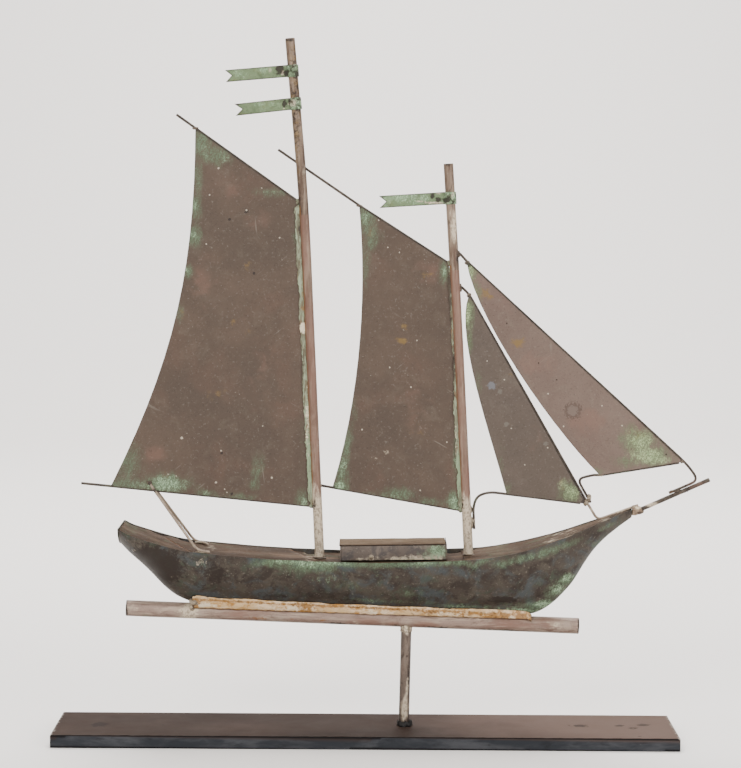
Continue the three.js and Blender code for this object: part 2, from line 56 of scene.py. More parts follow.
PIVOT = Vector(frame["joints"][0]["pos_m"])
BOW_DOWN = math.radians(1.94)
VANE = Matrix.Translation(PIVOT) @ Matrix.Rotation(BOW_DOWN, 4, "Y")
TO_VANE = VANE.inverted()

# ------------------------------------------------------------------ mesh tools


def wobble(p, size, seed=0.0):
    """Smooth noise from -1 to 1 that changes over about size metres."""
    return noise.noise(p / size + Vector((seed, seed * 1.7, -seed)))


def held(value):
    """The value kept between 0 and 1."""
    return max(0.0, min(1.0, value))


def bell(away, width):
    """1 where away is 0, nearly 0 from twice the width on."""
    return math.exp(-((away / width) ** 2))


def welded(node):
    bm = bmesh.new()
    bm.from_mesh(frame["nodes"][node].data)
    bmesh.ops.remove_doubles(bm, verts=bm.verts, dist=4e-6)
    bm.faces.ensure_lookup_table()
    bm.normal_update()
    return bm


def flat_patches(bm, tolerance=0.9999):
    """The faces of a mesh in groups that lie flat together, the largest group first."""
    left = set(bm.faces)
    patches = []
    while left:
        seed = left.pop()
        patch, edge = [seed], [seed]
        while edge:
            for side in edge.pop().edges:
                for face in side.link_faces:
                    if face in left and face.normal.dot(seed.normal) > tolerance:
                        left.discard(face)
                        patch.append(face)
                        edge.append(face)
        patches.append(patch)
    return sorted(patches, key=lambda patch: -sum(f.calc_area() for f in patch))


def corners_of(patch):
    return list({v for face in patch for v in face.verts})


def middle_of(verts):
    return sum((v.co for v in verts), Vector()) / len(verts)


def end_rings(bm):
    """The flat round ends of a rod or pipe: patches about as wide as they are long."""
    ends = []
    for patch in flat_patches(bm):
        verts = corners_of(patch)
        middle = middle_of(verts)
        reach = max((v.co - middle).length for v in verts)
        if len(verts) >= 10 and sum(f.calc_area() for f in patch) > 0.4 * reach * reach:
            ends.append(verts)
    return ends


def spine(node):
    """Centre line, radius and bore of a swept CAD rod, ring by ring from one end."""
    bm = welded(node)
    ring = end_rings(bm)[0]
    seen, centres = set(ring), [middle_of(ring)]
    reach = [(v.co - centres[0]).length for v in ring]
    while True:
        ring = list({e.other_vert(v) for v in ring for e in v.link_edges} - seen)
        if not ring:
            break
        seen.update(ring)
        centres.append(middle_of(ring))
    bm.free()
    bore = min(reach) if min(reach) < 0.93 * max(reach) else 0.0
    return centres, max(reach), bore


def resampled(points, step):
    """Points along the same line at even steps, with its kinks eased."""
    lengths = [0.0]
    for a, b in zip(points, points[1:]):
        lengths.append(lengths[-1] + (b - a).length)
    count = max(2, round(lengths[-1] / step))
    even, i = [], 0
    for n in range(count + 1):
        along = lengths[-1] * n / count
        while i < len(points) - 2 and lengths[i + 1] < along:
            i += 1
        share = (along - lengths[i]) / max(lengths[i + 1] - lengths[i], 1e-9)
        even.append(points[i].lerp(points[i + 1], share))
    for _ in range(3):
        even[1:-1] = [(a + b * 2 + c) / 4 for a, b, c in zip(even, even[1:], even[2:])]
    return even


def swept(points, radius, bore=0.0, facets=16, rough=0.02, seed=0.0):
    """A hand-worked rod or pipe along points: radius wanders by the share rough."""
    inset = min(radius * 0.25, 0.4 * MM)
    inner = bore if bore else radius * 0.55
    ways = [(b - a).normalized() for a, b in zip(points[:1] + points, points[1:] + points[-1:])]
    ways[0] = (points[1] - points[0]).normalized()
    start, end, first, last = points[0], points[-1], ways[0], ways[-1]
    stations = [(start, inner), (start, radius - inset), (start + first * inset, radius)]
    stations += [(p, radius) for p in points[1:-1]]
    stations += [(end - last * inset, radius), (end, radius - inset), (end, inner)]
    ways = [first, first, *ways, last, last]
    bands = list(range(len(stations) - 1))
    if bore:
        deep = min(3 * radius, 0.45 * (end - start).length)
        stations += [(end - last * deep, bore), (start + first * deep, bore)]
        ways += [last, first]
        bands += [len(stations) - 3, len(stations) - 1]
    side = first.orthogonal().normalized()
    verts = []
    for (centre, size), way in zip(stations, ways):
        side = (side - way * side.dot(way)).normalized()
        up = way.cross(side)
        for k in range(facets):
            turn = 2 * math.pi * k / facets
            out = side * math.cos(turn) + up * math.sin(turn)
            worn = 1 + rough * wobble(centre + out * radius, radius * 3, seed)
            verts.append(centre + out * size * worn)
    faces = []
    for band in sorted(set(bands)):
        here, there = band * facets, (band + 1) % len(stations) * facets
        for k in range(facets):
            after = (k + 1) % facets
            faces.append((here + k, here + after, there + after, there + k))
    if not bore:
        faces += [tuple(reversed(range(facets))), tuple(range(len(verts) - facets, len(verts)))]
    return mesh_from(verts, faces)


def mesh_from(verts, faces):
    bm = bmesh.new()
    made = [bm.verts.new(v) for v in verts]
    for face in faces:
        bm.faces.new([made[i] for i in face])
    bmesh.ops.recalc_face_normals(bm, faces=bm.faces)
    return bm


def finely_cut(bm, longest):
    """Cuts every edge until none is longer, so that stains, painted shade and dents have points to sit on.
    """
    for _ in range(9):
        long = [e for e in bm.edges if e.calc_length() > longest]
        if not long:
            break
        bmesh.ops.subdivide_edges(bm, edges=long, cuts=1)
        bmesh.ops.triangulate(bm, faces=[f for f in bm.faces if len(f.verts) > 4])
    return bm


def rounded(bm, levels, crease_over=35):
    """The mesh as a subdivision surface whose sharp edges stay sharp."""
    limit = math.radians(20)
    bmesh.ops.join_triangles(
        bm, faces=bm.faces, angle_face_threshold=limit, angle_shape_threshold=math.radians(60)
    )
    crease = bm.edges.layers.float.new("crease_edge")
    for edge in bm.edges:
        if len(edge.link_faces) == 2 and edge.calc_face_angle() > math.radians(crease_over):
            edge[crease] = 0.9
    data = bpy.data.meshes.new("rough")
    bm.to_mesh(data)
    bm.free()
    rough = bpy.data.objects.new("rough", data)
    bpy.context.scene.collection.objects.link(rough)
    smooth = rough.modifiers.new("smooth", "SUBSURF")
    smooth.levels = levels
    smooth.render_levels = levels
    evaluated = rough.evaluated_get(bpy.context.evaluated_depsgraph_get())
    bm = bmesh.new()
    bm.from_mesh(evaluated.to_mesh())
    evaluated.to_mesh_clear()
    bpy.data.objects.remove(rough)
    bpy.data.meshes.remove(data)
    return bm


def dented(bm, depth, size, seed=0.0):
    bm.normal_update()
    moves = [v.normal * depth * wobble(v.co, size, seed) for v in bm.verts]
    for vert, move in zip(bm.verts, moves):
        vert.co += move
    return bm


# ------------------------------------------------------------------ stains and painted light


def blots(*spots):
    """Strength of stains and of painted shade at a point: spots are (x, z, half length, half height, per
    cent).
    """

    def strength(p):
        most = 0.0
        for x, z, wide, high, strong in spots:
            far = ((p.x - x) / wide) ** 2 + ((p.z - z) / high) ** 2
            if far < 6:
                most = max(most, strong / 100 * math.exp(-far))
        return most

    return strength


def paint(data, stains_and_painted_light, at=TO_VANE):
    """Writes the strength of each stain and each patch of painted light, spots or a function, as an
    attribute its material reads.
    """
    places = [(at @ v.co) / MM for v in data.vertices]
    for name, strength in stains_and_painted_light.items():
        if isinstance(strength, list):
            strength = blots(*strength)
        layer = data.attributes.new(name, "FLOAT", "POINT")
        layer.data.foreach_set("value", [held(strength(p)) for p in places])


def piece(bm, name, material, nodes=(), stains_and_painted_light=None, body="vane", sharp=38, at=TO_VANE):
    data = bpy.data.meshes.new(name)
    bm.to_mesh(data)
    bm.free()
    data.polygons.foreach_set("use_smooth", [True] * len(data.polygons))
    data.set_sharp_from_angle(angle=math.radians(sharp))
    data.materials.append(material)
    paint(data, stains_and_painted_light or {}, at)
    made = bpy.data.objects.new(name, data)
    bpy.context.scene.collection.objects.link(made)
    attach(made, body)
    if nodes:
        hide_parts(*nodes)
    return made


# ------------------------------------------------------------------ materials


def colour(red, green, blue):
    """A screen colour from 0 to 255, as the shader's linear one."""
    parts = [c / 255 for c in (red, green, blue)]
    linear = [c / 12.92 if c < 0.04045 else ((c + 0.055) / 1.055) ** 2.4 for c in parts]
    return (*linear, 1.0)


class Coat:
    """A material painted in layers, each laid over the one before through a mask."""

    def __init__(self, name, base, roughness=0.6, metallic=0.0, specular=0.5):
        self.material = bpy.data.materials.new(name)
        self.material.use_nodes = True
        self.tree = self.material.node_tree
        self.shader = self.tree.nodes["Principled BSDF"]
        surface = {"Roughness": roughness, "Metallic": metallic, "Specular IOR Level": specular}
        self.connect(self.shader, surface)
        self.place = self.node("TexCoord", {}).outputs["Object"]
        self.paint = colour(*base)
        self.height = None

    def connect(self, node, inputs):
        for socket, value in inputs.items():
            if isinstance(value, bpy.types.NodeSocket):
                self.tree.links.new(value, node.inputs[socket])
            else:
                node.inputs[socket].default_value = value

    def node(self, kind, inputs, **settings):
        node = self.tree.nodes.new("ShaderNode" + kind)
        for name, value in settings.items():
            setattr(node, name, value)
        self.connect(node, inputs)
        return node

    def math(self, kind, a, b=0.0, add=0.0, clamp=False):
        return self.node("Math", {0: a, 1: b, 2: add}, operation=kind, use_clamp=clamp).outputs[0]

    def times(self, a, b, clamp=False):
        return self.math("MULTIPLY", a, b, clamp=clamp)

    def plus(self, a, b, clamp=False):
        return self.math("ADD", a, b, clamp=clamp)

    def grain(self, size, detail=5.0, stretch=(1, 1, 1), twist=0.0, shift=0.0, turn=0.0):
        """Noise from 0 to 1 whose lumps are about size millimetres across."""
        laid = {"Vector": self.place, "Location": (shift, -shift, shift * 0.5),
                "Rotation": (0.0, turn, 0.0), "Scale": [1 / s for s in stretch]}
        place = self.node("Mapping", laid, vector_type="TEXTURE").outputs[0]
        return self.node("TexNoise", {"Vector": place, "Scale": 1000 / size, "Detail": detail,
                                      "Roughness": 0.62, "Distortion": twist}).outputs[0]

    def ramp(self, value, low, high):
        inputs = {"Value": value, "From Min": low, "From Max": high}
        return self.node("MapRange", inputs, interpolation_type="SMOOTHSTEP").outputs["Result"]

    def painted(self, name):
        return self.node("Attribute", {}, attribute_name=name).outputs["Fac"]

    def patchy(self, name, size, ragged=0.7, low=0.3, high=0.62, shift=0.0, stretch=(1, 1, 1)):
        """A painted mask, for stains and painted light alike, with its rim broken up by noise."""
        strength = self.painted(name)
        noisy = self.math("SUBTRACT", self.grain(size, 8.0, stretch, 0.4, shift), 0.5)
        broken = self.ramp(self.plus(strength, self.times(noisy, 2 * ragged)), low, high)
        return self.times(broken, self.times(strength, 5.0, clamp=True))

    def over(self, top, mask, share=1.0):
        if share != 1.0:
            mask = self.times(mask, share)
        layers = {"Factor": mask, "A": self.paint, "B": colour(*top)}
        self.paint = self.node("Mix", layers, data_type="RGBA").outputs["Result"]

    def cloud(self, top, low, high, share, size, *grain, **more):
        """Lays a colour over where noise of a size runs from low to high."""
        self.over(top, self.ramp(self.grain(size, *grain, **more), low, high), share)

    # Lays a colour through a painted mask, for stains and painted light alike.
    def painted_layer(self, top, share, name, *patches):
        mask = self.patchy(name, *patches)
        self.over(top, mask, share)
        return mask

    def dots(self, top, radius, places):
        """Small crisp spots at places (x, z), in the vane's millimetres, seen from the side."""
        flat = self.node("VectorMath", {0: self.place, 1: (1, 0, 1)}, operation="MULTIPLY").outputs[0]
        nearest = None
        for x, z in places:
            spot = VANE @ (Vector((x, 0, z)) * MM)
            ends = {0: flat, 1: (spot.x, 0, spot.z)}
            far = self.node("VectorMath", ends, operation="DISTANCE").outputs["Value"]
            nearest = far if nearest is None else self.math("MINIMUM", nearest, far)
        noisy = self.math("SUBTRACT", self.grain(2.0, 3.0), 0.5)
        edge = self.plus(nearest, self.times(noisy, radius * MM * 2.2))
        near = self.math("SUBTRACT", radius * MM * 1.15, edge)
        self.over(top, self.ramp(near, 0.0, 0.45 * radius * MM), 0.9)

    def raise_by(self, mask, amount):
        """Adds amount millimetres of height where the mask is 1."""
        step = self.times(mask, amount)
        self.height = step if self.height is None else self.plus(self.height, step)

    def done(self, rough=None):
        self.connect(self.shader, {"Base Color": self.paint})
        if rough is not None:
            self.connect(self.shader, {"Roughness": rough})
        if self.height is not None:
            bump = self.node("Bump", {"Strength": 0.8, "Distance": MM, "Height": self.height})
            self.connect(self.shader, {"Normal": bump.outputs["Normal"]})
        return self.material


SCUFF = (124, 116, 106)
MINT = ((84, 98, 76), (104, 126, 102), (120, 148, 116), (168, 190, 158))
MOSS = ((86, 98, 72), (108, 126, 94), (128, 148, 106), (178, 188, 144))


def copper(name, base, tones, specks, roughness=0.58, metallic=0.25, specular=0.35, streak=(1, 1, 1),
           cloud=34, grit=0.05, lines=None, marks=(), blush=0.35, verdigris=MINT):
    """Old copper: cloudy tones, pale specks, and the stains painted on it; where a piece paints them, its
    pale layer also carries painted highlights and its dark layer painted shade.

    tones are (colour, size in mm, lowest and highest noise, share); lines are a pale and a dark
    colour of long streaks and how they are stretched; marks are (colour, radius, places);
    verdigris is four greens, from the stain to its brightest tips."""
    coat = Coat(name, base, roughness, metallic, specular)
    for n, (tone, size, low, high, share) in enumerate(tones):
        coat.cloud(tone, low, high, share, size, 6.0, streak, 0.6, 3.1 * n + 1)
    fine = coat.grain(1.6, 3.0, shift=5.0)
    coat.over((30, 26, 24), coat.ramp(fine, 0.54, 0.76), 0.4)
    coat.cloud(SCUFF, 0.56, 0.76, 0.4, 2.4, 4.0, shift=27.0)
    if lines:
        light, dim, along = lines
        coat.cloud(light, 0.5, 0.66, 0.75, 3.2, 4.0, along, 0.2, 41.0)
        coat.cloud(dim, 0.54, 0.68, 0.75, 2.4, 4.0, along, 0.2, 47.0)
    if specks:
        spread = coat.ramp(coat.grain(26, 3.0, shift=7.7), 0.5, 0.66)
        dots = coat.times(coat.ramp(coat.grain(1.8, 1.0, shift=9.2), 0.7, 0.78), spread)
        coat.over(specks, dots, 0.6)
        coat.raise_by(dots, 0.08)
    for way, shift in ((0.5, 4.4), (-0.7, 17.0), (1.45, 31.0)):
        scratch = coat.ramp(coat.grain(3.0, 2.0, (0.06, 1, 1), 0.0, shift, way), 0.69, 0.76)
        here = coat.ramp(coat.grain(40, 2.0, shift=shift + 2), 0.5, 0.66)
        coat.over(SCUFF, coat.times(scratch, here), 0.4)
    coat.painted_layer((126, 84, 44), 0.8, "rust", 5, 0.6, 0.34, 0.6, 2.0)
    coat.painted_layer((118, 94, 50), 0.7, "ochre", 6, 0.6, 0.34, 0.7, 11.0)
    coat.painted_layer((118, 88, 76), blush, "pink", 14, 0.6, 0.3, 0.8, 21.0, streak)
    pale = coat.painted_layer((198, 184, 162), 0.88, "pale", 5, 0.75, 0.32, 0.66, 4.0, streak)
    flecks = coat.ramp(coat.grain(2.0, 4.0, (1, 1, 0.6), shift=33.0), 0.5, 0.6)
    coat.over((84, 68, 56), coat.times(flecks, pale), 0.55)
    green = coat.patchy("green", 11, 0.6, 0.12, 0.95, 6.0, (1.6, 1, 0.7))
    brushed = coat.ramp(coat.grain(2.6, 5.0, (1.3, 1, 0.35), 0.5, 19.0, 0.35), 0.36, 0.62)
    speckle = coat.ramp(coat.grain(1.5, 4.0, shift=23.0), 0.42, 0.6)
    growth = coat.times(green, coat.math("MULTIPLY_ADD", brushed, 0.6, 0.4))
    coat.over(verdigris[0], growth, 0.85)
    coat.over(verdigris[1], coat.times(growth, speckle), 0.6)
    bloom = coat.patchy("bloom", 6, 0.75, 0.2, 0.85, 8.0, (1.4, 1, 0.8))
    coat.over(verdigris[2], coat.times(bloom, coat.math("MULTIPLY_ADD", speckle, 0.65, 0.35)), 0.85)
    coat.over(verdigris[3], coat.times(coat.times(bloom, brushed), speckle), 0.75)
    coat.painted_layer((40, 33, 29), 0.92, "dark", 4, 0.6, 0.34, 0.6, 13.0)
    for mark in marks:
        coat.dots(*mark)
    rim = coat.plus(coat.painted("rim"), coat.times(fine, 0.3))
    coat.over((46, 40, 36), coat.ramp(rim, 0.85, 1.15), 0.8)
    coat.raise_by(coat.grain(cloud, 3.0, shift=1.3), 0.5)
    coat.raise_by(fine, grit)
    grown = coat.plus(green, bloom)
    coat.raise_by(grown, 0.05)
    dull = coat.times(coat.plus(grown, pale, clamp=True), 0.25)
    worn = coat.times(coat.math("SUBTRACT", coat.grain(18, 5.0, shift=15.0), 0.5), 0.35)
    return coat.done(coat.plus(coat.plus(worn, roughness), dull, clamp=True))


SPECK = (150, 142, 128)
PALE_MARK = (170, 160, 144)
DARK_MARK = (40, 33, 29)
SAIL = copper(
    "sail_patina", (73, 61, 52),
    [((82, 68, 58), 90, 0.4, 0.66, 0.8), ((68, 58, 50), 60, 0.46, 0.7, 0.6),
     ((86, 67, 57), 70, 0.5, 0.72, 0.6), ((94, 84, 73), 15, 0.5, 0.78, 0.45),
     ((72, 61, 53), 7, 0.52, 0.76, 0.4)],
    SPECK, marks=[
        (DARK_MARK, 2.2, [(-173.6, 400.2), (-260.4, 127.0)]),
        (DARK_MARK, 1.5, [(-190.3, 391.7), (-164, 339.3), (-189.6, 159.6), (-178.4, 119)]),
        (PALE_MARK, 1.0,
         [(-173.6, 401.4), (-202.7, 441.4), (-190.4, 161.8), (-194.4, 130.1), (-138.9, 137.0)]),
        (PALE_MARK, 1.3, [(-229.9, 173.2)]),
        (PALE_MARK, 0.7, [(-210.6, 414.8), (-159.4, 423.7), (-140, 375.5), (-212, 366.4), (-149.8, 188.4),
                          (-242.1, 136.2), (-234, 134.8), (-185.4, 123.5), (-183.1, 120.6)]),
        (PALE_MARK, 0.8, [(-32.9, 370.5), (-21.3, 365.9), (-0.3, 279.6), (-26.2, 251.5), (9.2, 130.1),
                          (-4.3, 233.0), (33.6, 179.8), (-51.0, 188.5), (-43.0, 396.7)]),
    ])
STAYSAIL = copper(
    "staysail_patina", (80, 70, 62),
    [((88, 77, 69), 80, 0.4, 0.66, 0.8), ((74, 65, 59), 50, 0.46, 0.7, 0.6),
     ((98, 91, 81), 14, 0.5, 0.78, 0.45), ((76, 67, 60), 7, 0.52, 0.76, 0.4)],
    SPECK, verdigris=MOSS, marks=[
        ((100, 100, 104), 4.0, [(76, 238)]),
        ((96, 90, 82), 2.4, [(84, 232), (92, 200), (132, 182)]),
        (PALE_MARK, 0.7, [(88, 244), (97, 196), (134, 178), (112, 160), (70, 262)]),
    ])
JIB = copper(
    "jib_patina", (98, 82, 74),
    [((107, 91, 82), 90, 0.4, 0.66, 0.8), ((90, 75, 67), 60, 0.46, 0.7, 0.6),
     ((108, 84, 76), 60, 0.5, 0.72, 0.6), ((116, 104, 92), 14, 0.5, 0.78, 0.45),
     ((92, 78, 69), 7, 0.52, 0.76, 0.4)],
    SPECK, verdigris=MOSS, marks=[
        ((78, 64, 57), 8.5, [(157, 216)]),
        ((104, 90, 82), 5.5, [(157, 216)]),
        (DARK_MARK, 0.9, [(140, 246), (121, 262), (252, 176), (88, 300)]),
        (PALE_MARK, 0.8, [(149, 200), (207, 203), (132, 232), (186, 222)]),
    ])
HULL = copper(
    "hull_patina", (60, 53, 47),
    [((72, 66, 58), 26, 0.44, 0.62, 0.7), ((44, 37, 33), 18, 0.46, 0.62, 0.8),
     ((62, 68, 70), 22, 0.48, 0.66, 0.75), ((56, 65, 54), 14, 0.52, 0.68, 0.6),
     ((84, 80, 70), 5, 0.58, 0.74, 0.5)],
    (120, 126, 112), roughness=0.56, grit=0.08, specular=0.2)
# The deck's tones are the plates' own brown, made darker to hold painted shade, as the deck lies partly in
# shadow.
DECK = copper(
    "deck_patina_and_shade", (68, 52, 40),
    [((54, 41, 31), 40, 0.44, 0.62, 0.9), ((90, 72, 58), 24, 0.48, 0.66, 0.8),
     ((48, 37, 29), 12, 0.54, 0.72, 0.7), ((74, 82, 62), 20, 0.56, 0.7, 0.5)],
    SPECK, streak=(0.4, 1, 1), roughness=0.75, metallic=0.0, specular=0.08)
HOUSE = copper(
    "house_patina", (94, 84, 77),
    [((110, 99, 90), 30, 0.44, 0.62, 0.9), ((74, 69, 68), 18, 0.46, 0.62, 0.8),
     ((128, 119, 107), 6, 0.56, 0.74, 0.5)],
    SPECK)
PENNANT = copper(
    "pennant_verdigris", (98, 115, 84),
    [((78, 92, 66), 16, 0.44, 0.62, 0.8), ((116, 136, 104), 9, 0.5, 0.68, 0.8),
     ((100, 104, 62), 13, 0.54, 0.7, 0.6)],
    (90, 78, 64), roughness=0.78, metallic=0.0, cloud=12)
ROOF = copper(
    "roof_patina", (92, 76, 60),
    [((75, 61, 49), 30, 0.44, 0.62, 0.9), ((104, 89, 73), 16, 0.48, 0.66, 0.8),
     ((60, 48, 39), 10, 0.54, 0.72, 0.6)],
    SPECK, streak=(0.5, 1, 1), roughness=0.8, metallic=0.0, specular=0.04)
MAST = copper(
    "mast_patina", (110, 92, 78),
    [((134, 116, 100), 22, 0.44, 0.6, 0.9), ((74, 58, 48), 12, 0.48, 0.64, 0.85),
     ((60, 47, 40), 5, 0.56, 0.7, 0.85), ((100, 96, 76), 9, 0.56, 0.7, 0.5)],
    (170, 160, 142), streak=(1, 1, 0.25), roughness=0.5, metallic=0.3, blush=0.75,
    lines=((150, 132, 114), (80, 60, 50), (1, 1, 0.08)))
PIPE = copper(
    "pipe_patina", (136, 116, 105),
    [((152, 136, 122), 26, 0.44, 0.6, 0.9), ((112, 90, 80), 17, 0.48, 0.64, 0.85),
     ((84, 66, 56), 7, 0.56, 0.72, 0.7)],
    (178, 166, 150), streak=(0.4, 1, 1), roughness=0.48, metallic=0.3, blush=0.8,
    lines=((164, 146, 130), (104, 84, 74), (0.1, 1, 1)))
POST = copper(
    "post_patina", (86, 75, 67),
    [((112, 98, 88), 12, 0.44, 0.6, 0.9), ((62, 52, 46), 9, 0.46, 0.62, 0.9)],
    (170, 160, 145), streak=(1, 1, 0.3), roughness=0.45, metallic=0.4)
WIRE = copper(
    "wire_patina", (56, 47, 40),
    [((82, 73, 63), 7, 0.46, 0.64, 0.8), ((38, 31, 27), 5, 0.48, 0.64, 0.8)],
    (150, 146, 130), roughness=0.55)
SHEET_ROD = copper(
    "sheet_rod_patina", (138, 122, 106),
    [((156, 142, 126), 9, 0.44, 0.64, 0.8), ((110, 94, 82), 6, 0.48, 0.66, 0.8)],
    None, roughness=0.55)


def solder(name, base, tones, streak=(0.6, 1, 1)):
    """Lumpy solder, with the stains painted on it."""
    coat = Coat(name, base, 0.7, 0.2)
    for n, (tone, size, low, high, share) in enumerate(tones):
        coat.cloud(tone, low, high, share, size, 7.0, streak, 0.8, 2.3 * n + 1)
    rust = coat.painted_layer((134, 92, 36), 0.85, "rust", 4, 0.9, 0.3, 0.7, 2.0)
    seams = coat.ramp(coat.grain(3.4, 6.0, (0.7, 1, 1), 1.2, 14.0), 0.5, 0.62)
    coat.over((82, 54, 24), coat.times(seams, rust), 0.7)
    coat.painted_layer((214, 200, 174), 0.9, "pale", 4, 0.75, 0.32, 0.62, 4.0)
    coat.painted_layer((124, 142, 112), 0.85, "green", 5, 0.7, 0.3, 0.66, 6.0)
    coat.painted_layer((52, 40, 32), 0.9, "dark", 4, 0.7, 0.34, 0.62, 13.0)
    lumps = coat.grain(5, 5.0, shift=1.0)
    pits = coat.grain(1.2, 3.0, shift=3.0)
    coat.raise_by(lumps, 0.8)
    coat.raise_by(pits, 0.12)
    coat.over((70, 54, 42), coat.ramp(pits, 0.6, 0.8), 0.5)
    return coat.done(coat.plus(coat.times(lumps, 0.35), 0.5, clamp=True))


KEEL_SOLDER = solder(
    "keel_solder", (192, 162, 120),
    [((214, 190, 158), 16, 0.42, 0.6, 0.85), ((170, 128, 68), 6, 0.5, 0.62, 0.8),
     ((156, 108, 42), 9, 0.54, 0.66, 0.85), ((110, 82, 50), 3, 0.58, 0.7, 0.6)])
PALE_SOLDER = solder(
    "pale_solder", (122, 108, 90),
    [((160, 148, 128), 4, 0.44, 0.62, 0.9), ((76, 64, 52), 3, 0.48, 0.64, 0.9)])
TAN_SOLDER = solder(
    "tan_solder", (112, 92, 74),
    [((146, 126, 104), 5, 0.46, 0.62, 0.9), ((70, 54, 42), 4, 0.5, 0.64, 0.9)])
GREEN_SOLDER = solder(
    "green_solder", (112, 114, 92),
    [((140, 152, 126), 5, 0.44, 0.6, 0.9), ((84, 78, 60), 3, 0.46, 0.6, 0.9),
     ((104, 78, 54), 6, 0.52, 0.66, 0.85)], streak=(1, 1, 0.22))
DARK_SOLDER = solder(
    "dark_solder", (74, 62, 52),
    [((112, 98, 82), 3, 0.46, 0.64, 0.8), ((44, 36, 31), 3, 0.5, 0.68, 0.8)])

# ------------------------------------------------------------------ stand

def bar_finish():
    """Blackened steel: a brownish bloom on top with a painted sheen lightening it towards the right, slate
    blue sides with black edges.
    """
    coat = Coat("bar_finish", (53, 42, 37), 0.5, 0.1, 0.04)
    coat.cloud((45, 36, 32), 0.4, 0.68, 0.8, 90, 4.0, (0.4, 1, 1))
    # Painted sheen: a lighter brown laid over the top, strongest towards the right end.
    coat.painted_layer((98, 81, 73), 0.8, "painted_sheen", 60, 0.3, 0.1, 0.9, 12.0)
    coat.painted_layer((30, 26, 24), 0.7, "marks", 5, 0.9, 0.36, 0.6, 15.0, (0.6, 1, 1))
    side = coat.painted("side")
    coat.over((44, 46, 50), side)
    cloudy = coat.ramp(coat.grain(34, 5.0, (0.5, 1, 2.0), 0.2, 6.0), 0.42, 0.66)
    coat.over((76, 77, 80), coat.times(cloudy, side), 0.6)
    drips = coat.ramp(coat.grain(9, 6.0, (0.4, 1, 1), 0.3, 16.0), 0.54, 0.7)
    coat.over((30, 30, 32), coat.times(drips, side), 0.55)
    coat.over((20, 19, 20), coat.ramp(coat.painted("line"), 0.55, 0.95), 0.95)
    coat.painted_layer((150, 144, 136), 0.7, "worn", 5, 0.9, 0.5, 0.8, 4.0, (0.3, 1, 1))
    coat.raise_by(coat.grain(1.4, 4.0, shift=2.0), 0.05)
    coat.raise_by(coat.grain(60, 2.0, shift=5.0), 0.3)
    return coat.done(coat.plus(coat.times(coat.grain(35, 5.0, shift=9.0), 0.24), 0.56))


def base_bar():
    low, high = (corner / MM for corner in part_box("base_bar"))
    clusters = [(177, 2, 10, 7), (217, 5, 6, 6), (229, -6, 5, 5), (241, 8, 8, 6), (231, -41, 3, 3),
                (-306, -4, 12, 12), (-241, -4, 4, 4)]

    def on_top(p):
        return p.z > high.z - 0.6

    def worn(p):
        if on_top(p):
            return 0.8 * bell(min(p.x - low.x, high.x - p.x), 2.4)
        return 0.55 * bell(235 - p.x, 9) * (p.y < low.y + 1 and p.z > 5)

    def line(p):
        return float(p.y < low.y + 0.6 and (abs(p.z - high.z) < 0.8 or p.z < 0.8))

    # Painted sheen on the top: lighter towards the right end, and a little at the far left.
    def painted_sheen(p):
        return on_top(p) * max(0.85 * held((p.x + 60) / 220), 0.2 * held((-90 - p.x) / 30))

    def marks(p):
        return on_top(p) * max(0.8 * bell(p.x - x, wide) * bell(p.y - y, deep)
                               for x, y, wide, deep in clusters)

    bm = dented(finely_cut(welded("base_bar"), 6 * MM), 0.12 * MM, 90 * MM)
    for vert in bm.verts:
        vert.co.z = max(vert.co.z, 0.0)
    stains_and_painted_light = {"side": lambda p: float(not on_top(p)), "worn": worn, "line": line, "painted_sheen": painted_sheen,
              "marks": marks}
    stand_piece(bm, "base_bar", bar_finish(), 30, stains_and_painted_light)


def stand_piece(bm, node, material, sharp, stains_and_painted_light):
    piece(bm, f"{node}_skin", material, [node], stains_and_painted_light, "stand", sharp, Matrix.Identity(4))


def weld():
    """Black weld with ragged teeth round a cup, in which the foot of the socket tube turns."""
    bm = rounded(welded("spindle_weld"), 2, 50)
    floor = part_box("base_bar")[1].z
    tube_low, tube_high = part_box("socket_tube")
    cup, cup_floor = tube_high.x + 0.2 * MM, tube_low.z - 0.4 * MM
    for vert in bm.verts:
        tooth = max(0.0, wobble(vert.co, 3.6 * MM, 8.0))
        crest = vert.co.z > floor + 2 * MM and vert.co.xy.length > cup
        vert.co.z += 4.6 * MM * tooth * crest
    dented(bm, 0.9 * MM, 2.4 * MM, 3.0)
    for vert in bm.verts:
        reach = vert.co.xy.length
        in_floor = reach < cup - 1.2 * MM
        in_corner = reach < cup + 0.6 * MM and vert.co.z < cup_floor + 1.0 * MM
        if in_floor or in_corner:
            vert.co.z = min(vert.co.z, cup_floor)
        if not in_floor and reach < cup:
            vert.co.xy *= cup / reach
        vert.co.z = max(vert.co.z, floor + 0.02 * MM)
    coat = Coat("black_weld", (20, 18, 17), 0.6, 0.3)
    coat.cloud((48, 40, 35), 0.54, 0.7, 0.6, 3, 6.0)
    coat.raise_by(coat.grain(1.5, 5.0, shift=2.0), 0.5)
    stand_piece(bm, "spindle_weld", coat.done(), 60, {})


def spindle():
    coat = Coat("turned_steel", (128, 124, 118), 0.35, 0.9)
    rings = coat.grain(2.5, 3.0, (0.2, 0.2, 6))
    coat.over((92, 86, 80), coat.ramp(rings, 0.45, 0.65), 0.6)
    coat.raise_by(rings, 0.05)
    stand_piece(finely_cut(welded("spindle"), 8 * MM), "spindle", coat.done(), 50, {})


# ------------------------------------------------------------------ keel pipe, socket and their solder


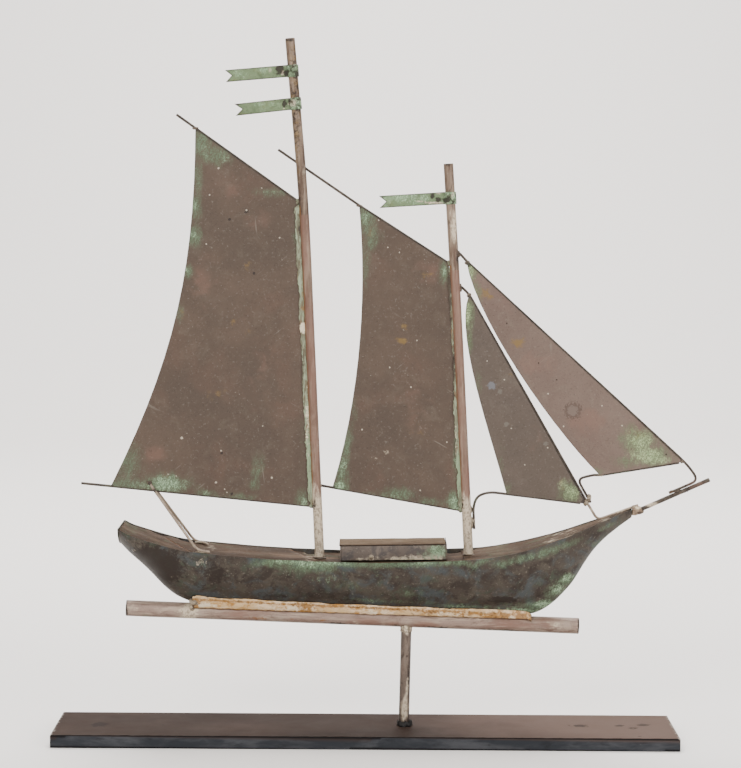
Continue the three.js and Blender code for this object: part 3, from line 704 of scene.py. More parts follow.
def keel_pipe():
    """The CAD pipe keeps its shape, with the hole for the spindle; only its ends are eased."""
    bm = welded("keel_pipe")
    ends = {vert for ring in end_rings(bm)[:2] for vert in ring}
    rims = [e for e in bm.edges if ends.issuperset(e.verts) and e.calc_face_angle() > math.radians(60)]
    bmesh.ops.bevel(bm, geom=rims, offset=0.35 * MM, segments=2, affect="EDGES")
    dented(finely_cut(bm, 2.6 * MM), 0.05 * MM, 24 * MM)
    stains_and_painted_light = {
        "pale": [(-215, 0, 12, 20, 80), (-270, 2, 20, 5, 35), (60, 5, 30, 5, 40), (150, 2, 18, 6, 40),
            (-60, -4, 24, 5, 40)],
        "pink": [(-160, -3, 40, 9, 70), (-40, -5, 36, 8, 70), (20, -5, 18, 6, 95), (-14, -4, 12, 5, 90),
            (110, 0, 40, 9, 70), (140, 3, 20, 8, 70)],
        "rust": [(-150, -4, 22, 3, 50), (-110, -3, 14, 3, 40), (-85, -3, 10, 3, 45)],
        # dark: painted shade along the underside of the pipe, and a darker band at each open end.
        "dark": [(-70, -7, 24, 3, 65), (30, -7, 24, 3, 60), (100, -7, 40, 2.4, 55), (-12, -6, 12, 3, 50),
            (-140, -8, 30, 2.4, 50), (-190, -8, 12, 3, 40), (-279, 0, 2, 12, 80), (173, 0, 2, 12, 80)],
        "green": [(-260, -6, 14, 3, 35), (95, -7, 24, 3, 35)],
    }
    piece(bm, "keel_pipe_skin", PIPE, ["keel_pipe"], stains_and_painted_light)


def socket():
    bm = finely_cut(welded("socket_tube"), 3 * MM)
    # Painted light on the tube: the pale streaks down its right side are a painted highlight, and the dark
    # streaks down both its edges are painted shade.
    stains_and_painted_light = {
        "pale": [(3, -88, 4, 16, 80), (4.5, -70, 2, 20, 50), (0, -12, 9, 4, 60)],
        "dark": [(-5, -30, 2, 25, 60), (-3, -70, 3, 20, 50), (5.5, -58, 2, 22, 60), (3, -36, 2, 5, 50)],
        "pink": [(0, -50, 4, 18, 60)],
    }
    piece(bm, "socket_tube_skin", POST, ["socket_tube"], stains_and_painted_light)
    bm = dented(finely_cut(welded("socket_solder"), 1.2 * MM), 0.35 * MM, 2.5 * MM)
    piece(bm, "socket_solder_skin", PALE_SOLDER, ["socket_solder"],
          {"pale": [(0, -9, 8, 4, 50)]},
          sharp=60)


def keel_solder():
    """Thick fillets, lumpy and rusty where they meet the pipe and the hull."""
    patches = blots(
        (-209, 9, 7, 8, 75), (-102, 9, 14, 9, 75), (-75, 12, 16, 4, 50), (28, 10, 26, 5, 60),
        (98, 8, 26, 9, 75),
        (56, 9, 16, 8, 55), (116, 9, 14, 9, 80))

    def rust(p):
        seams = max(bell(p.z - 4.2, 1.6), bell(p.z - 13.6 + 0.009 * (p.x + 213), 1.8))
        return max(0.75 * seams, patches(p))

    stains_and_painted_light = {
        "rust": rust,
        "pale": [(-200, 8, 16, 5, 60), (-120, 8, 40, 4, 50), (-30, 8, 22, 4, 50), (40, 8, 30, 4, 50),
                 (105, 6, 14, 3, 50)],
        "dark": [(-213, 6, 3, 8, 70), (-70, 4, 8, 2, 60), (30, 11, 8, 2, 50), (124, 8, 3, 6, 60)],
        "green": [(-150, 14, 26, 2, 30), (70, 11, 26, 2, 35)],
    }
    for node in ("keel_solder_starboard", "keel_solder_port"):
        bm = finely_cut(welded(node), 3.2 * MM)
        bmesh.ops.smooth_vert(bm, verts=bm.verts, factor=0.3)
        dented(bm, 0.7 * MM, 9 * MM, 1.0)
        dented(bm, 0.45 * MM, 3.2 * MM, 2.0)
        for vert in bm.verts:
            place = (TO_VANE @ vert.co) / MM
            off_end = max(-207 - place.x, place.x - 116, 0.0)
            vert.co.z -= MM * 0.06 * off_end * off_end * (place.z > 8)
            vert.co.z += MM * 1.6 * held((7 - place.z) / 3)
        piece(bm, f"{node}_skin", KEEL_SOLDER, [node], stains_and_painted_light, sharp=70)


# ------------------------------------------------------------------ hull and decks


def gunwale():
    """Height of the starboard shell's upper edge along the hull, in the vane's millimetres."""
    tops = {}
    for vert in frame["nodes"]["hull_starboard_shell"].data.vertices:
        place = (TO_VANE @ vert.co) / MM
        station = round(place.x / 8)
        tops[station] = max(tops.get(station, place.z), place.z)
    known = sorted((station * 8, top) for station, top in tops.items())

    def sheer(x):
        for (x0, z0), (x1, z1) in zip(known, known[1:]):
            if x0 <= x <= x1:
                return z0 + (z1 - z0) * (x - x0) / (x1 - x0)
        return known[0][1] if x < known[0][0] else known[-1][1]

    return sheer


def hull():
    sheer = gunwale()

    def crease(p):
        """The bow's lower strakes were hammered in along a line that rises forwards."""
        line = 18.7 + 0.033 * (p.x - 43) + max(0.0, p.x - 113) * 0.52
        return bell(p.z - line, 2.5) * held((p.x - 20) / 40)

    def under(p, spots, bands):
        """Spots, and on starboard bands that follow the gunwale and fade at their ends."""
        most = spots(p)
        for depth, thick, strong, aft, fore in bands if p.y <= 0 else ():
            ends = held(min((p.x - aft) / 18, (fore - p.x) / 18))
            most = max(most, strong * ends * bell(sheer(p.x) - p.z - depth, thick))
        return most

    green = blots(
        (158, 47, 12, 6, 90), (144, 34, 9, 10, 60), (130, 20, 30, 5, 75), (60, 18, 40, 3, 60),
        (-20, 21, 60, 3, 45),
        (0, 30, 26, 6, 40), (-250, 60, 10, 10, 30), (-60, 36, 20, 9, 30), (188, 84, 8, 5, 50))
    green_bands = [(1.5, 4.5, 0.75, -165, 90), (4, 9, 0.8, -140, -60), (3, 4, 0.36, -60, 60),
                   (7, 5, 0.62, 70, 178), (6, 3, 0.7, 176, 212)]
    bloom = blots(
        (159, 50, 7, 5, 90), (150, 38, 9, 7, 80), (138, 22, 12, 5, 90), (110, 14, 30, 3.5, 90),
        (50, 17, 14, 3, 50),
        (-30, 20, 26, 3, 40), (-203, 54, 6, 6, 30), (-84, 44, 14, 6, 45), (-22, 48, 8, 3, 50))
    bloom_bands = [(1.5, 3, 0.6, -150, -48), (3, 4, 0.55, -118, -70), (1, 2, 0.4, -20, 60),
                   (8, 2, 0.36, 90, 160)]
    shadow = blots(
        (-250, 48, 36, 28, 90), (-190, 44, 18, 14, 65), (95, 27, 22, 5, 80), (-130, 22, 30, 7, 50),
        (-60, 20, 24, 5, 50), (204, 96, 20, 10, 40), (-205, 30, 20, 10, 40), (60, 60, 24, 8, 35))
    stains_and_painted_light = {
        "green": lambda p: under(p, green, green_bands),
        "bloom": lambda p: under(p, bloom, bloom_bands),
        "pale": [(-204, 55, 5, 5, 62), (-232, 38, 2, 2, 50), (-272, 62, 3, 2, 60), (-90, 27, 3, 2, 40)],
        "dark": lambda p: max(0.45 * crease(p), shadow(p)),
    }
    for node in ("hull_starboard_shell", "hull_port_shell"):
        bm = rounded(welded(node), 2)
        dented(bm, 0.5 * MM, 34 * MM, 4.0)
        dented(bm, 0.18 * MM, 11 * MM, 6.0)
        for vert in bm.verts:
            at_side = min(1, abs(vert.co.y) / (6 * MM))
            inwards = Vector((0, -math.copysign(1, vert.co.y), 0))
            vert.co += inwards * 1.2 * MM * crease((TO_VANE @ vert.co) / MM) * at_side
        piece(bm, f"{node}_skin", HULL, [node], stains_and_painted_light)
    bm = dented(rounded(finely_cut(welded("transom"), 8 * MM), 1), 0.3 * MM, 18 * MM)
    piece(bm, "transom_skin", HULL, ["transom"], {"green": [(-288, 80, 9, 9, 40)]})


def decks():
    """Deck plates, let in a little unevenly; dark gaps show where the solder never ran to port."""
    gaps = [(-252, 5), (-223, 8), (-98, 5), (46, 7), (62, 5)]

    def open_gap(p):
        return held((p.y - 26) / 8) * max(bell(p.x - x, half) for x, half in gaps)

    def seams(p):
        return max(bell(p.x + 212.5 + (p.y + 38) * 0.54, 3), bell(p.x + 89 + (p.y + 38) * 0.4, 3))

    stains_and_painted_light = {
        # dark: painted shade in the open gaps, where the plates also dip.
        "dark": open_gap,
        "pink": lambda p: 0.7 * seams(p),
        "rust": lambda p: 0.42 * seams(p),
        "pale": [(-197, 63, 8, 20, 32), (-100, 61, 10, 20, 34), (150, 92, 40, 20, 34),
                 (200, 110, 20, 20, 34)],
        "green": [(-280, 80, 10, 20, 30), (90, 72, 20, 20, 30)],
    }
    for node in ("stern_deck", "quarter_deck", "waist_deck", "fore_deck"):
        bm = finely_cut(welded(node), 7 * MM)
        for vert in bm.verts:
            vert.co.y *= 1.025
            vert.co.z -= 3.4 * MM * open_gap((TO_VANE @ vert.co) / MM)
        dented(bm, 0.45 * MM, 22 * MM, 2.0)
        piece(bm, f"{node}_skin", DECK, [node], stains_and_painted_light, sharp=50)


def deckhouse():
    stains_and_painted_light = {
        "green": [(26, 73, 12, 6, 95), (0, 64, 20, 3, 40)],
        "bloom": [(29, 73, 10, 6, 100), (22, 68, 14, 4, 60)],
        # dark: a painted shadow line along the top of the walls, just under the roof's edge.
        "dark": lambda p: 0.8 * math.exp(-((p.z - 78.0 - 0.052 * (p.x + 15)) ** 2)) if p.z < 82 else 0.0,
        "pale": [(33, 71, 6, 6, 50), (12, 65, 20, 4, 62), (28, 68, 10, 6, 60), (4, 63, 34, 3.6, 80),
            (-40, 62, 20, 2.5, 50), (-37, 63, 3, 4, 90), (30, 66, 10, 4, 50)],
        "pink": [(38, 72, 2, 12, 80), (-20, 76, 50, 2, 40)],
    }
    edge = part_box("deckhouse_roof")[0].y / MM
    # A painted shadow line along the roof's starboard edge.
    roof_painted_shade = {"dark": lambda p: 0.7 * math.exp(-(((p.y - edge) / 0.6) ** 2))}
    walls = ["side_starboard", "side_port", "end_aft", "end_fore", "roof"]
    for wall in walls:
        node = f"deckhouse_{wall}"
        bm = welded(node)
        bmesh.ops.bevel(bm, geom=list(bm.edges), offset=0.22 * MM, segments=1, affect="EDGES")
        finely_cut(bm, 2.6 * MM)
        dented(bm, 0.25 * MM, 17 * MM, 5.0)
        if wall == "roof":
            piece(bm, f"{node}_skin", ROOF, [node], roof_painted_shade, sharp=50)
        else:
            piece(bm, f"{node}_skin", HOUSE, [node], stains_and_painted_light, sharp=50)


# ------------------------------------------------------------------ masts and pennants


def mast(node, stains_and_painted_light):
    centres, radius, bore = spine(node)
    bm = swept(resampled(centres, 2.2 * MM), radius, bore, 32, 0.01, 2.0)
    piece(bm, f"{node}_skin", MAST, [node], stains_and_painted_light)


def masts():
    def white(p):
        return 0.92 * held((150 - p.z) / 46)

    main_pale = blots((-119, 436, 4, 14, 30))
    fore_pale = blots((31, 395, 5, 26, 70), (33, 350, 3, 12, 40))
    mast("mainmast", {
        "pale": lambda p: max(white(p), main_pale(p)),
        "pink": lambda p: 0.6 * (120 < p.z < 400),
        "dark": [(-127, 505, 5, 6, 80), (-131, 538, 5, 7, 80), (-137, 569, 6, 3, 70), (-96, 112, 4, 8, 60),
                 (-125, 520, 3, 10, 50), (-122, 410, 4, 14, 50), (-130, 500, 14, 150, 44)],
        "ochre": [(-130, 500, 14, 150, 50)],
        "rust": lambda p: 0.62 * (p.x < -88.3 - 0.0823 * (p.z - 59.4) - 3.2 and 112 < p.z < 408),
        "green": [(-126, 508, 5, 5, 50), (-130, 540, 5, 5, 40)],
    })
    mast("foremast", {
        "pale": lambda p: max(white(p) * 0.95, fore_pale(p)),
        "pink": lambda p: 0.66 * (125 < p.z < 352),
        "dark": [(26, 422, 6, 6, 80), (23, 454, 6, 2, 70), (36, 362, 3, 8, 60), (28, 448, 3, 10, 40),
                 (52, 118, 3, 12, 50)],
        "rust": lambda p: 0.6 * (p.x < 60.2 - 0.0925 * (p.z - 67.9) - 3.2 and 114 < p.z < 356),
        "green": [(25, 425, 5, 5, 50)],
    })


def flat_outline(node):
    """Outline of the largest flat face of a plate, its direction and the plate's thickness."""
    bm = welded(node)
    face, other = flat_patches(bm)[:2]
    normal = face[0].normal.copy()
    thick = abs((middle_of(corners_of(face)) - middle_of(corners_of(other))).dot(normal))
    inside = set(face)
    rim = [e for f in face for e in f.edges if sum(link in inside for link in e.link_faces) == 1]
    loop = [rim[0].verts[0], rim[0].verts[1]]
    left = set(rim[1:])
    while left:
        step = next((e for e in left if loop[-1] in e.verts), None)
        if step is None:
            break
        left.discard(step)
        loop.append(step.other_vert(loop[-1]))
    outline = [v.co.copy() for v in loop[:-1]]
    bm.free()
    return outline, normal, thick


def inside_outline(x, y, outline):
    inside = False
    for (x0, y0), (x1, y1) in zip(outline, outline[1:] + outline[:1]):
        if (y0 > y) != (y1 > y) and x < x0 + (y - y0) / (y1 - y0) * (x1 - x0):
            inside = not inside
    return inside


def sheet_mesh(outline, normal, thick, step, bend, size, seed, reach):
    """A hand-cut sheet, finely meshed and slightly waved, and the mask of its rim."""
    across = Vector((normal.y, -normal.x, 0)).normalized()
    up = normal.cross(across)
    origin = outline[0]
    flat = [((p - origin).dot(across), (p - origin).dot(up)) for p in outline]
    edge = []
    for (x0, y0), (x1, y1) in zip(flat, flat[1:] + flat[:1]):
        count = max(1, round(math.hypot(x1 - x0, y1 - y0) / step))
        edge += [(x0 + (x1 - x0) * k / count, y0 + (y1 - y0) * k / count) for k in range(count)]

    def clear(x, y):
        return min((a - x) ** 2 + (b - y) ** 2 for a, b in edge) > (0.6 * step) ** 2

    points = [Vector(p) for p in edge]
    xs, ys = zip(*edge)
    row, y, high_x, high_y = 0, min(ys) + step * 0.5, max(xs), max(ys)
    while y < high_y:
        x = min(xs) + step * (0.25 + 0.5 * (row % 2))
        while x < high_x:
            if inside_outline(x, y, flat) and clear(x, y):
                points.append(Vector((x, y)))
            x += step
        y += step * 0.866
        row += 1
    made, _, triangles, *_ = delaunay_2d_cdt(points, [], [list(range(len(edge)))], 1, 1e-7)
    front, back = [], []
    for p in made:
        place = origin + across * p.x + up * p.y - normal * thick / 2
        place += normal * bend * wobble(place, size, seed)
        front.append(place + normal * thick / 2)
        back.append(place - normal * thick / 2)
    count = len(made)
    faces = [tuple(t) for t in triangles] + [tuple(reversed([i + count for i in t])) for t in triangles]
    sides = {(a, b) for t in triangles for a, b in zip(t, (*t[1:], t[0]))}
    faces += [(a, a + count, b + count, b) for a, b in sorted(sides) if (b, a) not in sides]
    return mesh_from(front + back, faces), rim_mask(edge, origin, across, up, reach)


def rim_mask(edge, origin, across, up, reach):
    """1 at the edge of a sheet, falling to 0 at reach millimetres in."""
    size = reach * MM
    cells = {}
    for x, y in edge:
        cells.setdefault((math.floor(x / size), math.floor(y / size)), []).append((x, y))

    def strength(p):
        place = VANE @ (p * MM) - origin
        x, y = place.dot(across), place.dot(up)
        i, j = math.floor(x / size), math.floor(y / size)
        near = [q for a in (-1, 0, 1) for b in (-1, 0, 1) for q in cells.get((i + a, j + b), [])]
        return max([0.0] + [1 - math.hypot(x - q[0], y - q[1]) / size for q in near])

    return strength


def pennant(node, mast_node, seed, stains_and_painted_light):
    """A strip folded round the mast: the leaf a little buckled, the band pinched tight."""
    outline, normal, thick = flat_outline(node)
    foot, head = mast_end = sorted(sorted(outline, key=lambda p: -p.x)[:2], key=lambda p: p.z)
    outline = [p + Vector((1.6 * MM, 0, 0)) if p in mast_end else p for p in outline]
    leaf, rim = sheet_mesh(outline, normal, thick, 1.6 * MM, 0.5 * MM, 26 * MM, seed, 5.0)
    piece(leaf, f"{node}_leaf", PENNANT, [node], {**stains_and_painted_light, "rim": rim}, sharp=50)
    centres, radius, _ = spine(mast_node)
    at = min(resampled(centres, 1 * MM), key=lambda c: abs(c.z - (foot.z + head.z) / 2))
    half = (head - foot) / 2
    line = resampled([at - half, at + half], 1.2 * MM)
    dark, bloom = blots(*stains_and_painted_light["dark"]), blots(*stains_and_painted_light["bloom"])
    pinched = {**stains_and_painted_light, "dark": lambda p: max(0.44, dark(p)), "bloom": lambda p: max(0.6, bloom(p))}
    band = swept(line, radius + 1.1 * MM, radius + 0.2 * MM, 32, 0.035, seed)
    piece(band, f"{node}_band", PENNANT, [], pinched, sharp=50)


def pennants():
    pennant("main_pennant_upper", "mainmast", 1.0, {
        "dark": [(-146, 541, 5, 7, 90), (-139, 537, 4, 5, 80), (-152, 546, 12, 2.5, 70),
            (-128, 536, 4, 4, 80), (-200, 535, 3, 7, 60), (-170, 529, 24, 1.5, 50)],
        "pale": [(-143, 537, 2, 3, 90), (-132, 546, 3, 3, 80), (-155, 540, 3, 6, 50)],
        "bloom": [(-161, 540, 8, 5, 60), (-185, 534, 12, 5, 50)],
        "green": [(-190, 534, 8, 5, 40)],
        "ochre": [(-188, 535, 7, 4, 40), (-160, 540, 5, 4, 30)],
    })
    pennant("main_pennant_lower", "mainmast", 4.0, {
        "dark": [(-140, 507, 3, 5, 90), (-135, 510, 3, 6, 60), (-124, 512, 3, 3, 70),
            (-122, 503, 2, 5, 70), (-188, 505, 4, 4, 80), (-160, 512, 8, 2, 40)],
        "pale": [(-131, 508, 5, 5, 80), (-138, 502, 3, 2, 60)],
        "bloom": [(-160, 506, 14, 4, 50)],
        "ochre": [(-144, 505, 6, 3, 40)],
    })
    pennant("fore_pennant", "foremast", 7.0, {
        "dark": [(9, 423, 3.5, 4, 80), (14, 419, 5, 4, 70), (23, 419, 4, 4, 80), (32, 425, 2, 5, 70)],
        "pale": [(14, 426, 3, 2, 90), (28, 424, 3, 4, 80), (12, 416, 14, 1.5, 80),
            (-6, 417, 16, 1.2, 60)],
        "bloom": [(-20, 421, 18, 7, 90), (-38, 419, 12, 7, 70), (0, 420, 10, 5, 60)],
        "ochre": [(-18, 419, 12, 3, 35)],
    })


# ------------------------------------------------------------------ sails


def sail(node, material, seed, stains_and_painted_light):
    sheet, rim = sheet_mesh(*flat_outline(node), 3.0 * MM, 0.45 * MM, 55 * MM, seed, 2.4)
    piece(sheet, f"{node}_sheet", material, [node], {**stains_and_painted_light, "rim": rim}, sharp=50)


def sails():
    sail("mainsail", SAIL, 1.0, {
        "green": [(-221, 465, 13, 20, 85), (-206, 455, 20, 12, 75), (-222, 430, 6, 34, 60),
            (-224, 403, 7, 13, 85), (-224, 374, 8, 10, 85), (-230, 339, 6, 7, 80),
            (-236, 300, 6, 18, 50), (-281, 143, 12, 22, 70), (-282, 124, 26, 9, 85),
            (-243, 126, 26, 11, 90), (-203, 118, 12, 5, 65), (-170, 116, 26, 5, 60),
            (-153, 145, 8, 18, 55), (-157, 129, 7, 7, 60), (-108, 114, 10, 12, 70),
            (-148, 420, 22, 6, 60), (-122, 385, 6, 24, 60), (-110, 250, 5, 90, 35)],
        "bloom": [(-244, 127, 17, 8, 90), (-262, 124, 16, 5, 60), (-224, 404, 3, 8, 60),
            (-224, 374, 3, 5, 60), (-231, 340, 3, 3, 80), (-203, 119, 5, 3, 50), (-106, 114, 4, 6, 70),
            (-219, 459, 8, 8, 40), (-197, 452, 7, 6, 45), (-148, 421, 18, 2.5, 40)],
        "ochre": [(-169, 347, 7, 7, 50), (-181, 291, 8, 6, 45), (-168, 281, 6, 5, 45),
            (-234, 297, 6, 9, 50), (-197, 219, 18, 12, 36), (-246, 134, 10, 6, 50),
            (-214, 352, 20, 12, 30)],
        "pink": [(-257, 156, 16, 13, 70), (-159, 393, 20, 16, 60), (-215, 330, 26, 40, 50),
            (-150, 250, 26, 40, 45), (-190, 420, 16, 12, 50)],
        "dark": [(-261, 158, 9, 8, 36), (-186, 160, 3, 5, 45), (-210, 377, 7, 7, 30)],
    })
    sail("foresail", SAIL, 2.0, {
        "green": [(-56, 397, 12, 18, 85), (-48, 380, 9, 16, 65), (-55, 352, 6, 22, 65),
            (-66, 168, 6, 26, 75), (-70, 145, 8, 14, 85), (-71, 130, 9, 7, 95), (-14, 125, 22, 8, 70),
            (-40, 124, 16, 4, 50), (20, 119, 20, 5, 55), (42, 121, 7, 12, 95), (43, 170, 4, 40, 50),
            (24, 350, 6, 16, 75), (-60, 205, 4, 20, 40)],
        "bloom": [(-71, 131, 7, 6, 85), (-69, 150, 4, 14, 60), (43, 119, 5, 9, 90), (44, 170, 2, 40, 50),
            (-57, 399, 6, 10, 50), (-14, 124, 14, 4, 50), (24, 352, 3, 9, 50)],
        "ochre": [(-13, 293.6, 7, 4, 62), (-15.9, 278.4, 8, 4.4, 80), (9, 345, 13, 5, 50),
            (8, 190, 20, 20, 30), (-50, 384, 8, 10, 40)],
        "pink": [(0, 210, 30, 50, 45), (10, 350, 22, 18, 60)],
        "pale": [(-26, 168, 4, 4, 62), (-35, 160, 5, 2.5, 45), (-11, 248, 4, 3, 42)],
        "dark": [(-30, 277, 3, 3.5, 50), (-46, 342, 7, 5, 36)],
    })
    sail("staysail", STAYSAIL, 3.0, {
        "green": [(49, 308, 7, 22, 100), (50, 278, 5, 16, 90), (62, 240, 4, 26, 45), (95, 133, 6, 9, 60),
            (88, 160, 4, 26, 40), (158, 135, 12, 11, 90), (130, 124, 26, 4, 40)],
        "bloom": [(48, 306, 5, 18, 80), (49, 280, 3, 10, 50), (160, 134, 8, 7, 90), (152, 142, 6, 8, 60)],
        "ochre": [(150, 142, 7, 9, 50), (94, 250, 8, 10, 30)],
        "pale": [(126, 166, 7, 1.0, 40)],
        "pink": [(120, 180, 20, 24, 40)],
    })
    sail("jib", JIB, 4.0, {
        "green": [(50, 350, 8, 12, 100), (55, 327, 8, 14, 85), (238, 174, 20, 11, 100),
            (224, 188, 20, 14, 95), (212, 168, 18, 7, 60), (214, 200, 10, 8, 60), (184, 156, 7, 5, 65)],
        "bloom": [(234, 174, 18, 8, 100), (248, 171, 9, 6, 80), (226, 188, 16, 10, 80),
            (216, 198, 9, 6, 50), (50, 350, 5, 9, 80), (55, 328, 4, 8, 50)],
        "ochre": [(66, 328, 10, 8, 62), (99, 281, 12, 9, 60), (222, 194, 16, 9, 55),
            (196, 188, 6, 10, 35)],
        "pink": [(172, 205, 26, 18, 80), (120, 260, 30, 20, 60)],
    })


def aft_side(mast_node):
    """Where the aft side of a mast stands at a height, in the vane's millimetres."""
    centres, radius, _ = spine(mast_node)
    known = sorted((q.z, q.x - radius / MM) for q in ((TO_VANE @ c) / MM for c in centres))

    def side(z):
        for (z0, x0), (z1, x1) in zip(known, known[1:]):
            if z <= z1:
                return x0 + (x1 - x0) * (z - z0) / (z1 - z0)
        return known[-1][1]

    return side


def luff_solder():
    """Ragged ribbons of solder that hold the sails to their masts, grown over with verdigris."""
    stains_and_painted_light = {
        "rust": [(-118, 400, 4, 26, 60), (-114, 330, 3, 60, 50), (28, 330, 4, 30, 42), (34, 260, 3, 40, 40)],
        "green": [(-112, 330, 6, 40, 50), (-102, 160, 6, 60, 70), (46, 150, 5, 40, 70)],
        "pale": [(-114, 287, 4, 6, 100), (-105, 200, 4, 50, 50), (42, 180, 4, 30, 35)],
        "dark": [(-120, 385, 2, 12, 70), (-112, 250, 2, 20, 50), (29, 320, 5, 60, 75), (36, 250, 4, 40, 70)],
    }
    for sail_name, mast_node in (("mainsail", "mainmast"), ("foresail", "foremast")):
        mast_side = aft_side(mast_node)
        for side in ("starboard", "port"):
            node = f"{sail_name}_luff_solder_{side}"
            bm = welded(node)
            heights = [(TO_VANE @ vert.co).z for vert in bm.verts]
            middle = (min(heights) + max(heights)) / 2
            for vert in bm.verts:
                vert.co.z += 7 * MM if (TO_VANE @ vert.co).z > middle else -4 * MM
            for vert in finely_cut(bm, 2.0 * MM).verts:
                place = (TO_VANE @ vert.co) / MM
                from_mast = (mast_side(place.z) - place.x) / 5.0
                ragged = wobble(vert.co, 9 * MM, 1.0) + 0.8 * wobble(vert.co, 3 * MM, 5.0)
                narrow = 0.6 if sail_name == "mainsail" else 2.8 if place.z > 230 else 1.6
                vert.co.x += MM * (0.9 + (narrow + 1.2 * ragged) * from_mast)
            dented(bm, 0.3 * MM, 3.5 * MM, 2.0)
            piece(bm, f"{node}_skin", GREEN_SOLDER, [node], stains_and_painted_light, sharp=60)


# ------------------------------------------------------------------ spars, stays and solder joints


def wires():
    plain = ["main_gaff", "main_boom", "fore_gaff", "fore_boom", "forestay", "inner_forestay_upper",
             "bowsprit",
             "jib_foot_wire", "staysail_foot_wire"]
    bare = ["mainsheet_starboard", "mainsheet_port", "inner_forestay_lower"]
    stains_and_painted_light = {
        "pale": [(68, 104, 6, 10, 80), (180, 118, 6, 10, 50), (210, 118, 20, 6, 40), (-225, 86, 20, 14, 40),
                 (240, 126, 10, 5, 50)],
        "green": [(-280, 123, 26, 3, 50), (200, 156, 30, 4, 40), (60, 118, 8, 20, 40),
                  (-180, 116, 30, 3, 40)],
        "dark": [(-261, 127, 3, 3, 100), (-255, 120, 3, 3, 80), (-190, 456, 40, 30, 50),
                 (100, 310, 50, 40, 60),
                 (0, 372, 30, 20, 50), (262, 140, 18, 4, 40)],
        "pink": [(284, 147, 16, 8, 60), (-225, 86, 26, 26, 40)],
        "rust": [(262, 138, 12, 3, 40)],
    }
    for n, node in enumerate(plain + bare):
        centres, radius, bore = spine(node)
        bm = swept(resampled(centres, 1.6 * MM), radius, bore, 14, 0.05, float(n))
        material = SHEET_ROD if node in bare else WIRE
        piece(bm, f"{node}_rod", material, [node], stains_and_painted_light, sharp=50)


def lump(name, place, size, material, seed):
    """A blob of solder, pulled out of round; place and size are in the vane's millimetres."""
    bm = bmesh.new()
    bmesh.ops.create_icosphere(bm, subdivisions=3, radius=1.0)
    for vert in bm.verts:
        swell = 1 + 0.35 * wobble(vert.co, 0.8, seed) + 0.12 * wobble(vert.co, 0.3, seed + 9)
        vert.co = Vector((vert.co.x * size[0], vert.co.y * size[1], vert.co.z * size[2])) * swell
        vert.co = VANE @ ((vert.co + Vector(place)) * MM)
    piece(bm, name, material, sharp=60)


def solder_joints():
    """Lumps of solder where wires, sails and masts meet: name, place, size and material."""
    dark, pale, green = DARK_SOLDER, PALE_SOLDER, GREEN_SOLDER
    joints = [
        ("forestay_head_solder", (37.2, 1.6, 366.4), (1.9, 1.6, 3.4), dark),
        ("inner_stay_head_solder", (40.4, 1.6, 333.4), (1.9, 1.6, 3.4), dark),
        ("main_gaff_solder", (-123.4, 1.2, 411.6), (2.6, 2.2, 3.4), green),
        ("fore_gaff_solder", (28.4, 1.6, 357.2), (2.4, 2.2, 3.0), green),
        ("fore_gaff_crossing_solder", (-120.6, 5.4, 446.4), (3.2, 1.6, 2.6), dark),
        ("main_boom_solder", (-98.6, 1.4, 110.8), (2.6, 2.2, 2.8), green),
        ("fore_boom_solder", (50.4, 1.2, 112.6), (2.8, 2.4, 3.0), green),
        ("fore_boom_aft_solder", (-91.6, 5.0, 130.8), (2.8, 1.6, 2.4), dark),
        ("peak_solder", (-226.8, 1.2, 479.6), (3.2, 1.4, 1.3), dark),
        ("fore_peak_solder", (-62.8, 4.2, 410.2), (3.2, 1.4, 1.3), dark),
        ("jib_head_solder", (46.0, 1.2, 358.6), (2.4, 1.4, 2.2), dark),
        ("jib_tack_solder", (268.4, 1.2, 169.6), (2.6, 1.6, 2.0), dark),
        ("jib_clew_solder", (188.6, 1.2, 153.2), (2.6, 1.4, 1.8), pale),
        ("staysail_head_solder", (49.2, 1.2, 326.2), (2.2, 1.4, 2.4), dark),
        ("staysail_tack_solder", (174.6, 1.0, 124.6), (2.6, 2.0, 3.0), pale),
        ("stay_lap_solder", (177.6, 1.6, 128.6), (2.4, 1.8, 4.4), pale),
        ("clew_solder_starboard", (-260.4, -1.4, 127.0), (2.4, 1.4, 2.2), dark),
        ("clew_solder_port", (-255.4, 3.6, 121.0), (2.6, 1.8, 2.2), dark),
        ("sheet_foot_solder_starboard", (-203.6, -36.2, 65.2), (6.0, 1.8, 1.3), pale),
        ("sheet_foot_solder_port", (-208.6, 24.0, 65.4), (6.0, 4.0, 1.1), pale),
        ("stay_foot_solder", (266.4, 0.4, 139.6), (9.0, 1.7, 1.7), dark),
        ("foot_wire_solder_low", (61.8, 0.4, 99.0), (1.9, 2.0, 6.0), pale),
        ("foot_wire_solder_high", (59.8, 0.4, 112.0), (2.2, 2.0, 4.6), pale),
        ("house_drop", (-37.0, -21.2, 64.2), (1.7, 1.3, 1.9), pale),
        ("keel_solder_aft_lump", (-211.6, -10.0, 11.0), (5.0, 5.0, 3.4), pale),
        ("keel_solder_aft_drip", (-213.4, -7.0, 5.2), (2.6, 2.4, 5.0), pale),
        # The two mast-foot lumps are solder, made dark to paint the shade round each mast foot.
        ("mainmast_foot_solder", (-88.4, 0.0, 58.9), (6.4, 6.4, 1.1), dark),
        ("foremast_foot_solder", (60.2, 0.0, 67.7), (6.2, 6.2, 1.1), dark),
    ]
    for seed, joint in enumerate(joints):
        lump(*joint, seed * 3.3)
    bm = dented(dented(finely_cut(welded("bow_solder"), 1.2 * MM), 1.4 * MM, 6 * MM), 0.5 * MM, 2 * MM, 4.0)
    stains_and_painted_light = {"dark": [(229, 117, 5, 2, 70)], "pale": [(226, 122, 5, 2, 60)]}
    piece(bm, "bow_solder_skin", TAN_SOLDER, ["bow_solder"], stains_and_painted_light, sharp=70)


# ------------------------------------------------------------------ floor, light and camera


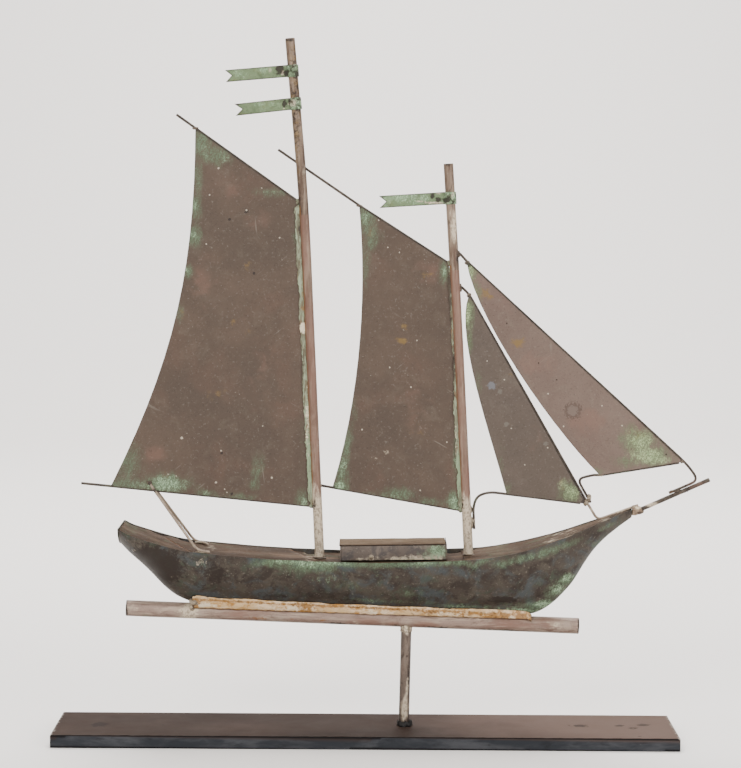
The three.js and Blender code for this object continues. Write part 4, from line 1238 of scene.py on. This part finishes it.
def stage():
    """A wide pale floor that sweeps up, well behind the vane, into a pale backdrop."""
    coat = Coat("pale_floor", (240, 236, 232), 0.8)
    coat.raise_by(coat.grain(5, 3.0), 0.05)
    near, start, bend, top, half_width = -9.0, 2.6, 1.6, 6.0, 10.0
    turns = [math.pi / 2 * n / 20 for n in range(21)]
    sweep = [(start + bend * math.sin(turn), bend - bend * math.cos(turn)) for turn in turns]
    profile = [(near, 0.0), *sweep, (start + bend, top)]
    verts = [(x, y, z - 0.2 * MM) for y, z in profile for x in (-half_width, half_width)]
    faces = [(2 * i, 2 * i + 1, 2 * i + 3, 2 * i + 2) for i in range(len(profile) - 1)]
    data = bpy.data.meshes.new("sweep")
    data.from_pydata(verts, [], faces)
    data.polygons.foreach_set("use_smooth", [True] * len(data.polygons))
    data.materials.append(coat.done())
    floor = bpy.data.objects.new("sweep", data)
    bpy.context.scene.collection.objects.link(floor)


def light(name, place, aim, size, watts, tint=(1, 1, 1)):
    data = bpy.data.lights.new(name, "AREA")
    data.size = size
    data.energy = watts
    data.color = tint
    lamp = bpy.data.objects.new(name, data)
    lamp.location = place
    lamp.rotation_euler = (Vector(aim) - Vector(place)).to_track_quat("-Z", "Y").to_euler()
    bpy.context.scene.collection.objects.link(lamp)


def lights():
    middle = (0.0, 0.0, 0.35)
    light("key", (-1.0, -1.9, 1.5), middle, 1.0, 44, (1.0, 0.975, 0.94))
    light("fill", (1.6, -1.5, 1.1), (0.15, 0.0, 0.3), 1.1, 36, (1.0, 0.985, 0.97))
    light("top", (0.0, 0.35, 2.4), (0.0, 0.6, 0.4), 1.8, 46)
    light("backdrop", (0.0, 1.4, 3.0), (0.0, 3.6, 0.5), 2.0, 190)
    world = bpy.data.worlds.new("studio")
    world.use_nodes = True
    world.node_tree.nodes["Background"].inputs["Color"].default_value = colour(240, 236, 234)
    world.node_tree.nodes["Background"].inputs["Strength"].default_value = 0.72
    bpy.context.scene.world = world


def camera():
    """Eye level a little above the deck, square to the starboard side."""
    heading, pitch, roll = math.radians(0.116), math.radians(4.826), math.radians(0.381)
    forward = Vector((math.sin(heading) * math.cos(pitch), math.cos(heading) * math.cos(pitch),
                      -math.sin(pitch)))
    level = Vector((math.cos(heading), -math.sin(heading), 0))
    above = level.cross(forward)
    right = level * math.cos(roll) + above * math.sin(roll)
    up = above * math.cos(roll) - level * math.sin(roll)
    data = bpy.data.cameras.new("camera")
    data.sensor_width = 36.0
    data.lens = 107.69
    eye = bpy.data.objects.new("camera", data)
    turn = Matrix((right, up, -forward)).transposed().to_4x4()
    eye.matrix_world = Matrix.Translation((-0.0412, -2.2714, 0.5485)) @ turn
    bpy.context.scene.collection.objects.link(eye)
    bpy.context.scene.camera = eye


camera()
stage()
lights()
base_bar()
weld()
spindle()
keel_pipe()
socket()
keel_solder()
hull()
decks()
deckhouse()
masts()
pennants()
sails()
luff_solder()
wires()
solder_joints()
